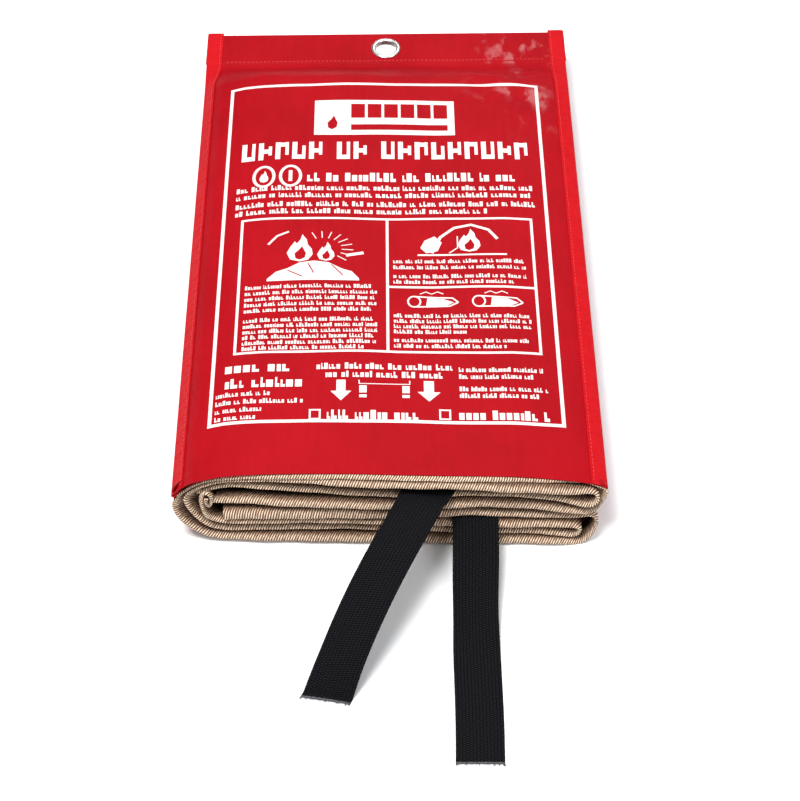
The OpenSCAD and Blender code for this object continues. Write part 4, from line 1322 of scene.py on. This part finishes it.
@dataclass
class Blanket:
    """The folded glass-fibre cloth: four layers, folded round in four passes."""

    shape: PouchShape
    looks: Finishes
    cloth: float = 1.15
    stack_h: float = 58.0
    strip: float = 3.15
    turn_low: tuple[float, float] = (110.0, 14.65)
    turn_high: tuple[float, float] = (115.5, 45.15)
    wrap: tuple[float, float] = (-100.0, 30.0)
    layer_off: float = 1.5
    back_y: float = 367.0
    deep: tuple[float, ...] = (367.0, 330.0, 280.0, 225.0, 170.0, 120.0, 85.0, 60.0)
    near: tuple[float, ...] = (40.0, 29.0, 20.5, 14.0, 9.0, 5.2, 2.6, 1.0)

    def lanes(self) -> tuple[Lane, Lane]:
        """The outer and the inner fold's ways, each from its upper free end to its lower one."""
        (lx, lz), (hx, hz), (wx, wz), s = self.turn_low, self.turn_high, self.wrap, self.strip
        outer = {"band4": [(-107.0, 34.45), (112.0, 34.45)], "turnhi": arc(hx, hz, 7.55 + s, -90, 90),
                 "band1": [(hx, 55.85), (-98.0, 55.85)], "wrap": arc(wx, wz, 22.7 + s, 90, 270, 48),
                 "band8": [(wx, 4.15), (lx - 2, 4.15)], "turnlo": arc(lx, lz, 7.35 + s, -90, 90),
                 "band5": [(lx, 25.15), (-104.0, 25.15)]}
        inner = {"band3": [(-112.0, 41.0), (-99.0, 40.75), (113.0, 40.75)],
                 "turnhi": arc(hx, hz, 7.55 - s, -90, 90),
                 "band2": [(hx, 49.55), (-98.0, 49.55)], "wrap": arc(wx, wz, 22.7 - s, 90, 270, 48),
                 "band7": [(wx, 10.45), (lx - 2, 10.45)], "turnlo": arc(lx, lz, 7.35 - s, -90, 90),
                 "band6": [(lx, 18.85), (-98.0, 18.85)],
                 "curl": [(-100.0, 18.95), (-106.0, 20.6), (-111.5, 25.0), (-112.6, 30.5), (-110.8, 35.2),
                          (-108.4, 35.6), (-107.0, 33.0), (-106.6, 29.5)]}
        counts = {"band4": 96, "turnhi": 40, "band1": 96, "wrap": 60, "band8": 96, "turnlo": 40, "band5": 96,
                  "band3": 96, "band2": 96, "band7": 96, "band6": 76, "curl": 56}
        lane_b = Lane(inner, INNER_FOLD, {**counts, "turnhi": 36, "turnlo": 32, "wrap": 36})
        return Lane(outer, OUTER_FOLD, counts), lane_b

    def settle(self, x: Array, y: Array, z: Array) -> Array:
        """Lets the neat stack settle to the height that the pouch leaves it."""
        s = self.shape
        top = np.interp(np.clip(x, -112, 118), *s.line)
        share = (top - 2.6) / (self.stack_h + 1)
        wave = 0.35 * np.sin(x / 27 + z / 15 + y / 90) * clamp01(np.minimum(z - 2, 57 - z) / 14)
        return np.stack([x, y, np.maximum(1 + (z - 1) * share * s.thin(y) + wave, 1.0)], -1)

    def fold(self, lane: Lane) -> Array:
        """One front fold swept along its lane.

        Args:
            lane: its way.

        Returns:
            (stations, columns, 3) points, from the outer layer's back end round the nose to the
            inner layer's back end.
        """
        x, z, nose, out, inn, tilt = lane.front.T
        s = lane.run
        nose = nose + 0.28 * np.sin(s / 9.5) * np.sin(s / 41 + 1) + 0.18 * np.sin(s / 4.3 + 2)
        tip = np.clip(1.15 * (out + inn), 1.9, 4.2)
        columns: list[tuple[Array, Array]] = []
        for side, swell, lean in ((1, out, 0 * tilt), (-1, inn, tilt)):
            half = [(np.full_like(s, y), np.full_like(s, side * self.layer_off)) for y in self.deep]
            for g in self.near:
                h = self.layer_off + (swell - self.layer_off) * math.exp(-g / 11.0)
                half.append((nose + tip + g + lean * math.exp(-g / 16.0), side * h))
            if side > 0:
                columns += half
                for a in np.radians(np.linspace(82, -82, 13)):
                    h = np.where(a >= 0, out, inn) * math.sin(a)
                    back = tip * (1 - math.cos(a) ** 0.8) + tilt * ((1 - math.sin(a)) / 2) ** 1.2
                    columns.append((nose + back, h))
            else:
                columns += half[::-1]
        y = np.stack([c[0] for c in columns], 1)
        off = np.stack([c[1] for c in columns], 1)[..., None]
        neat = lane.inside[:, None, :2] + Lane.outward(lane.inside)[:, None] * off
        loose = lane.front[:, None, :2] + Lane.outward(lane.front)[:, None] * off
        deep = self.settle(neat[..., 0], y, neat[..., 1])
        w = ease((13 - y) / 15)
        px, pz = mix(deep[..., 0], loose[..., 0], w), mix(deep[..., 2], loose[..., 1], w)
        room = 128.8 + 6.6 * ease((9 - y) / 9.5) + 4.0 * ease((1.0 - y) / 2.5)
        px = np.clip(px, -room, room)
        top = np.interp(px, *self.shape.line) * self.shape.thin(y) - 1.5
        pz = np.where(y > -2.5, np.minimum(pz, top), pz)
        return np.stack([px, y, np.maximum(pz, 0.75 + 0.1 * (off[..., 0] > 0))], -1)

    @staticmethod
    def recess(fold: Array, outermost: bool) -> Array:
        """How far each point lies behind its fold's nose, where another fold covers it; the cloth's colour darkens
        with this depth as painted shade.

        Args:
            fold: (stations, columns, 3) points of one front fold.
            outermost: the fold's outer face is the outside of the whole stack.

        Returns:
            Depth in millimetres, 0 on faces that nothing covers.
        """
        rows, cols = fold.shape[:2]
        depth = fold[..., 1] - fold[..., 1].min(axis=1, keepdims=True)
        if outermost:
            at = np.linspace(0, 1, rows)[:, None]
            outside = ease((at - 0.17) / 0.03) * ease((0.84 - at) / 0.03)
            first = (np.arange(cols) < cols // 2)[None]
            depth = depth * np.where(first, 1 - outside, 1.0)
        return depth

    def build(self) -> bpy.types.Object:
        """Builds the cloth."""
        outer, inner = self.lanes()
        a, b = self.fold(outer), self.fold(inner)
        n = min(len(a), len(b))
        at = np.linspace(0, 1, n)
        a, b = (np.stack([np.stack([np.interp(at, np.linspace(0, 1, len(g)), g[:, c, k])
                                    for k in range(3)], -1) for c in range(g.shape[1])], 1) for g in (a, b))
        w = np.linspace(0, 1, 6)[1:-1][None, :, None]
        joint = mix(a[:, -1:], b[:, :1], w)
        joint[..., 1] += 1.6 * np.sin(np.pi * w[..., 0])
        grid = np.concatenate([a, joint, b], 1)
        rows, cols = grid.shape[:2]
        step = np.linalg.norm(np.diff(grid, axis=1), axis=2)
        depth = np.concatenate([[0], np.cumsum(np.median(step, axis=0))])
        along = []
        for nose in (len(self.deep) + len(self.near) + 6, cols - len(self.deep) - len(self.near) - 7):
            way = np.linalg.norm(np.diff(grid[:, nose, ::2], axis=0), axis=1)
            along.append(np.concatenate([[0], np.cumsum(way)]))
        share = ease((np.arange(cols) / (cols - 1) - 0.46) / 0.08)[None]
        uv = np.stack([mix(along[0][:, None], along[1][:, None], share) / 1000,
                       np.broadcast_to(depth[None] / 1000, (rows, cols))], -1)
        edge = np.minimum(np.arange(rows), np.arange(rows)[::-1])[:, None] + np.zeros((1, cols))
        cloth = Build.sheet("glass_fibre_cloth", grid, self.cloth + 0.4 * (edge < 4), uv, 60)
        # Depth for the painted shade; the joint between the two folds lies deep inside and gets the darkest
        # painted shadow.
        painted_shade_depth = np.concatenate([self.recess(a, True), np.full(joint.shape[:2], 12.0), self.recess(b, False)], 1)
        layer = cloth.data.attributes.new(RECESS, "FLOAT", "POINT")
        layer.data.foreach_set("value", np.concatenate([painted_shade_depth.ravel()] * 2).astype(np.float32))
        dress(cloth, "glass_cloth", self.looks.glass)
        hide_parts("glass_fibre_blanket")
        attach(cloth, "blanket")
        return cloth


# ---------------------------------------------------------------- the pull tapes

@dataclass
class PullTape:
    """One webbing pull tape, from its sewn end between the folds to its free tip."""

    side: Side
    blanket: Blanket
    looks: Finishes
    exit: tuple[float, float, float]
    turn: float
    hinge: float
    drop: tuple[float, float]
    length: float
    width: float = 29.5
    thick: float = 1.4
    sewn: float = 60.0
    skew: float = 0.0

    def height(self, d: Array) -> Array:
        """Height of the free run at a distance from the exit."""
        z0, (start, touch) = self.exit[2], self.drop
        if self.side is Side.LEFT:
            return mix(z0, 1.15, clamp01((d - start) / (touch - start)) ** 2)
        return mix(z0, 0.85, ease((d - start) / (touch - start)))

    def centre(self, d: Array) -> Array:
        """The tape's middle line: between the folds, then along its free run."""
        a = math.radians(self.turn)
        x = self.exit[0] - math.sin(a) * d
        y = self.exit[1] - math.cos(a) * d
        inside = self.blanket.settle(x, y, np.full_like(d, self.exit[2] + 0.05))[..., 2]
        free = self.height(np.maximum(d, 0))
        return np.stack([x, y, mix(inside, free, ease((d + 6) / 12))], -1)

    def build(self) -> None:
        """Builds the tape, its frayed tip and its box stitch."""
        name = self.side.name.lower()
        d = np.concatenate([np.linspace(-self.sewn, -6, 24), np.linspace(-4, self.length, 110)])
        a = math.radians(self.turn)
        line = self.centre(d)
        sway = 0.5 * np.sin(d / 24 + (0 if self.side is Side.LEFT else 2)) * ease(d / 40)
        across = np.array([math.cos(a), -math.sin(a), 0.0])
        q = np.concatenate([[-1, -0.985, -0.955], np.linspace(-0.9, 0.9, 11), [0.955, 0.985, 1]])
        bank = np.radians(0.0 if self.side is Side.LEFT else 17.0) * hump(d, 62, 26)
        cup = 0.5 * ease(d / 30)
        half = self.width / 2
        grid = line[:, None] + across * (q * half)[None, :, None] * np.cos(bank)[:, None, None]
        grid = grid + across * sway[:, None, None]
        ahead = np.array([-math.sin(a), -math.cos(a), 0.0])
        grid = grid - ahead * (self.skew * (ease((d - self.length + 30) / 30) * 0.5)[:, None] * q)[..., None]
        grid[..., 2] += np.sin(bank)[:, None] * q * half - cup[:, None] * (q ** 2 - 0.3)
        grid[..., 2] = np.maximum(grid[..., 2], self.thick / 2 + 0.12)
        thick = self.thick * np.sqrt(np.maximum(0.12, 1 - (np.abs(q) * 1.0) ** 26))
        run = np.concatenate([[0], np.cumsum(np.linalg.norm(np.diff(line, axis=0), axis=1))])
        total = float(run[-1])
        uv = np.stack([np.broadcast_to(q * half, grid.shape[:2]),
                       np.broadcast_to(run[:, None], grid.shape[:2])], -1) / 1000
        tape = Build.sheet(f"{name}_pull_tape_webbing", grid, np.broadcast_to(thick, grid.shape[:2]), uv, 60)
        weave = Webbing(tip_mm=round(total, 1)).material()
        dress(tape, "webbing", weave)
        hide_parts(f"{name}_tape_sewn_end", f"{name}_pull_tape")
        self.bend(tape)
        fray = self.fray(name, grid[-1], grid[-1] - grid[-2])
        dress(fray, "webbing", Webbing(tip_mm=0.0).material())
        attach(fray, f"{name}_tape")
        box = self.box_stitch(name)
        dress(box, "thread", self.looks.seam)
        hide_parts(f"{name}_tape_box_stitch")
        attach(box, "blanket")
        self.width / 1000

    def bend(self, tape: bpy.types.Object) -> None:
        """Works out two points on the fold line, then bakes the tape's placement into its mesh; it does not bend
        the tape.
        """
        points = to_frame(self.centre(np.array([self.hinge - 7.0, self.hinge + 7.0])))
        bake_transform(tape)

    def fray(self, name: str, tip: Array, step: Array) -> bpy.types.Object:
        """Short loose yarns along the cut end."""
        pick = np.random.default_rng(5 if self.side is Side.LEFT else 9)
        n = 46
        at = np.sort(pick.uniform(0.3, len(tip) - 1.3, n))
        i = at.astype(int)
        start = mix(tip[i], tip[i + 1], (at - i)[:, None])
        ahead = step[i] / np.linalg.norm(step[i], axis=1, keepdims=True)
        start = start - ahead * 0.5 + np.array([0, 0, 1.0]) * pick.uniform(-0.3, 0.45, (n, 1))
        side = pick.normal(0, 0.35, (n, 1)) * np.array([[math.cos(math.radians(self.turn)), 0.0, 0.0]])
        end = start + ahead * pick.uniform(0.8, 2.2, (n, 1)) + side
        end[:, 2] = np.maximum(start[:, 2] - pick.uniform(0, 0.5, n), 0.35)
        start[:, 2] = np.maximum(start[:, 2], 0.35)
        ups = np.tile(np.array([[0.0, 0.0, 1.0]]), (n, 1))
        return Build.stitches(f"{name}_tape_fray", start, end, ups, 0.32, 0.12)

    def box_stitch(self, name: str) -> bpy.types.Object:
        """The box with a cross that sews the tape to the cloth."""
        a = math.radians(self.turn)
        ahead, across = np.array([-math.sin(a), -math.cos(a)]), np.array([math.cos(a), -math.sin(a)])
        box = [(-11.0, -54.0), (11.0, -54.0), (11.0, -20.0), (-11.0, -20.0), (-11.0, -54.0),
               (11.0, -20.0), (-11.0, -20.0), (11.0, -54.0)]
        starts, ends = [], []
        for k, ((q0, d0), (q1, d1)) in enumerate(zip(box, box[1:])):
            if k == 5:
                continue
            n = int(math.hypot(q1 - q0, d1 - d0) / 3.0)
            for j in range(n):
                for t, out in ((j / n, starts), ((j + 0.72) / n, ends)):
                    out.append((mix(q0, q1, t), mix(d0, d1, t)))
        rows = []
        for part in (np.array(starts), np.array(ends)):
            mid = self.centre(part[:, 1])
            flat = np.array(self.exit[:2]) + ahead * part[:, 1:2] + across * part[:, 0:1]
            rows.append(np.stack([flat[:, 0], flat[:, 1], mid[:, 2] + self.thick / 2 + 0.05], -1))
        ups = np.tile(np.array([[0.0, 0.0, 1.0]]), (len(rows[0]), 1))
        return Build.stitches(f"{name}_tape_box_seam", rows[0], rows[1], ups, 0.5, 0.2)


# ---------------------------------------------------------------- the studio

@dataclass
class Studio:
    """A pale floor, soft light and the camera."""

    place: tuple[float, float, float] = (0.005166, -0.890895, 1.000362)
    pitch: float = 52.231
    yaw: float = 0.186
    roll: float = -0.473
    lens: float = 82.664
    sky_low: float = 0.04
    sky_top: float = 0.62

    def camera(self) -> None:
        """Makes the camera."""
        e, y, r = (math.radians(v) for v in (self.pitch, self.yaw, self.roll))
        ahead = Vector((math.sin(y) * math.cos(e), math.cos(y) * math.cos(e), -math.sin(e)))
        right = ahead.cross(Vector((0, 0, 1))).normalized()
        up = right.cross(ahead)
        right2 = right * math.cos(r) + up * math.sin(r)
        up2 = up * math.cos(r) - right * math.sin(r)
        data = bpy.data.cameras.new("camera")
        data.lens, data.sensor_width = self.lens, 36.0
        data.clip_start, data.clip_end = 0.05, 30.0
        camera = bpy.data.objects.new("camera", data)
        turn = Matrix((right2, up2, -ahead)).transposed().to_4x4()
        camera.matrix_world = Matrix.Translation(Vector(self.place)) @ turn
        bpy.context.scene.collection.objects.link(camera)
        bpy.context.scene.camera = camera

    def light(self, name: str, place: tuple[float, float, float], aim: tuple[float, float, float],
              size: float, watts: float, colour: Colour = (1.0, 1.0, 1.0)) -> None:
        """Makes one square soft light."""
        data = bpy.data.lights.new(name, "AREA")
        data.size, data.energy, data.color = size, watts, colour
        lamp = bpy.data.objects.new(name, data)
        lamp.location = place
        lamp.rotation_euler = (Vector(aim) - Vector(place)).to_track_quat("-Z", "Y").to_euler()
        bpy.context.scene.collection.objects.link(lamp)

    def floor(self) -> None:
        """Makes the pale floor."""
        g = Graph("floor")
        cloud = g.noise(2, 2, 0.5, on_cloth=False)
        material = g.shade(Base_Color=g.blend(cloud, (0.90, 0.905, 0.92), (0.92, 0.925, 0.935)),
                           Roughness=0.7, Specular_IOR_Level=0.25)
        mesh = bpy.data.meshes.new("floor")
        r = 9.0
        mesh.from_pydata([(-r, -r, 0), (r, -r, 0), (r, r, 0), (-r, r, 0)], [], [(0, 1, 2, 3)])
        floor = bpy.data.objects.new("floor", mesh)
        mesh.materials.append(material)
        bpy.context.scene.collection.objects.link(floor)

    def build(self) -> None:
        """Sets up the whole studio."""
        self.camera()
        self.floor()
        world = bpy.data.worlds.new("studio")
        world.use_nodes = True
        tree = world.node_tree
        sky, way = tree.nodes["Background"], tree.nodes.new("ShaderNodeTexCoord")
        split, ramp = tree.nodes.new("ShaderNodeSeparateXYZ"), tree.nodes.new("ShaderNodeMapRange")
        tree.links.new(way.outputs["Generated"], split.inputs[0])
        tree.links.new(split.outputs["Z"], ramp.inputs["Value"])
        ramp.inputs["To Min"].default_value, ramp.inputs["To Max"].default_value = self.sky_low, self.sky_top
        tree.links.new(ramp.outputs["Result"], sky.inputs["Strength"])
        sky.inputs["Color"].default_value = (0.97, 0.985, 1.0, 1.0)
        bpy.context.scene.world = world
        self.light("key", (-0.45, -0.35, 1.9), (0, -0.05, 0.03), 0.7, 44)
        self.light("fill", (1.2, -0.9, 1.5), (0, 0, 0), 1.2, 12)
        self.light("rim", (0.4, 1.4, 1.5), (0, 0.1, 0), 1.0, 12)
        view = bpy.context.scene.view_settings
        view.view_transform, view.look = "Standard", "None"


def main() -> None:
    """Builds the object and its studio."""
    logging.basicConfig(level=logging.INFO, format="%(message)s")
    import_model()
    Studio().build()
    looks = Finishes.make()
    shape = PouchShape()
    Pouch(shape, looks).build()
    Print(shape, looks).build()
    blanket = Blanket(shape, looks)
    blanket.build()
    PullTape(Side.LEFT, blanket, looks, (23.0, -5.0, 46.0), 27.4, 12.5, (30.0, 133.0), 137.0, skew=9.0).build()
    PullTape(Side.RIGHT, blanket, looks, (55.0, -5.0, 22.0), 0.8, 4.8, (0.0, 95.0), 165.0).build()


if __name__ == "__main__":
    main()
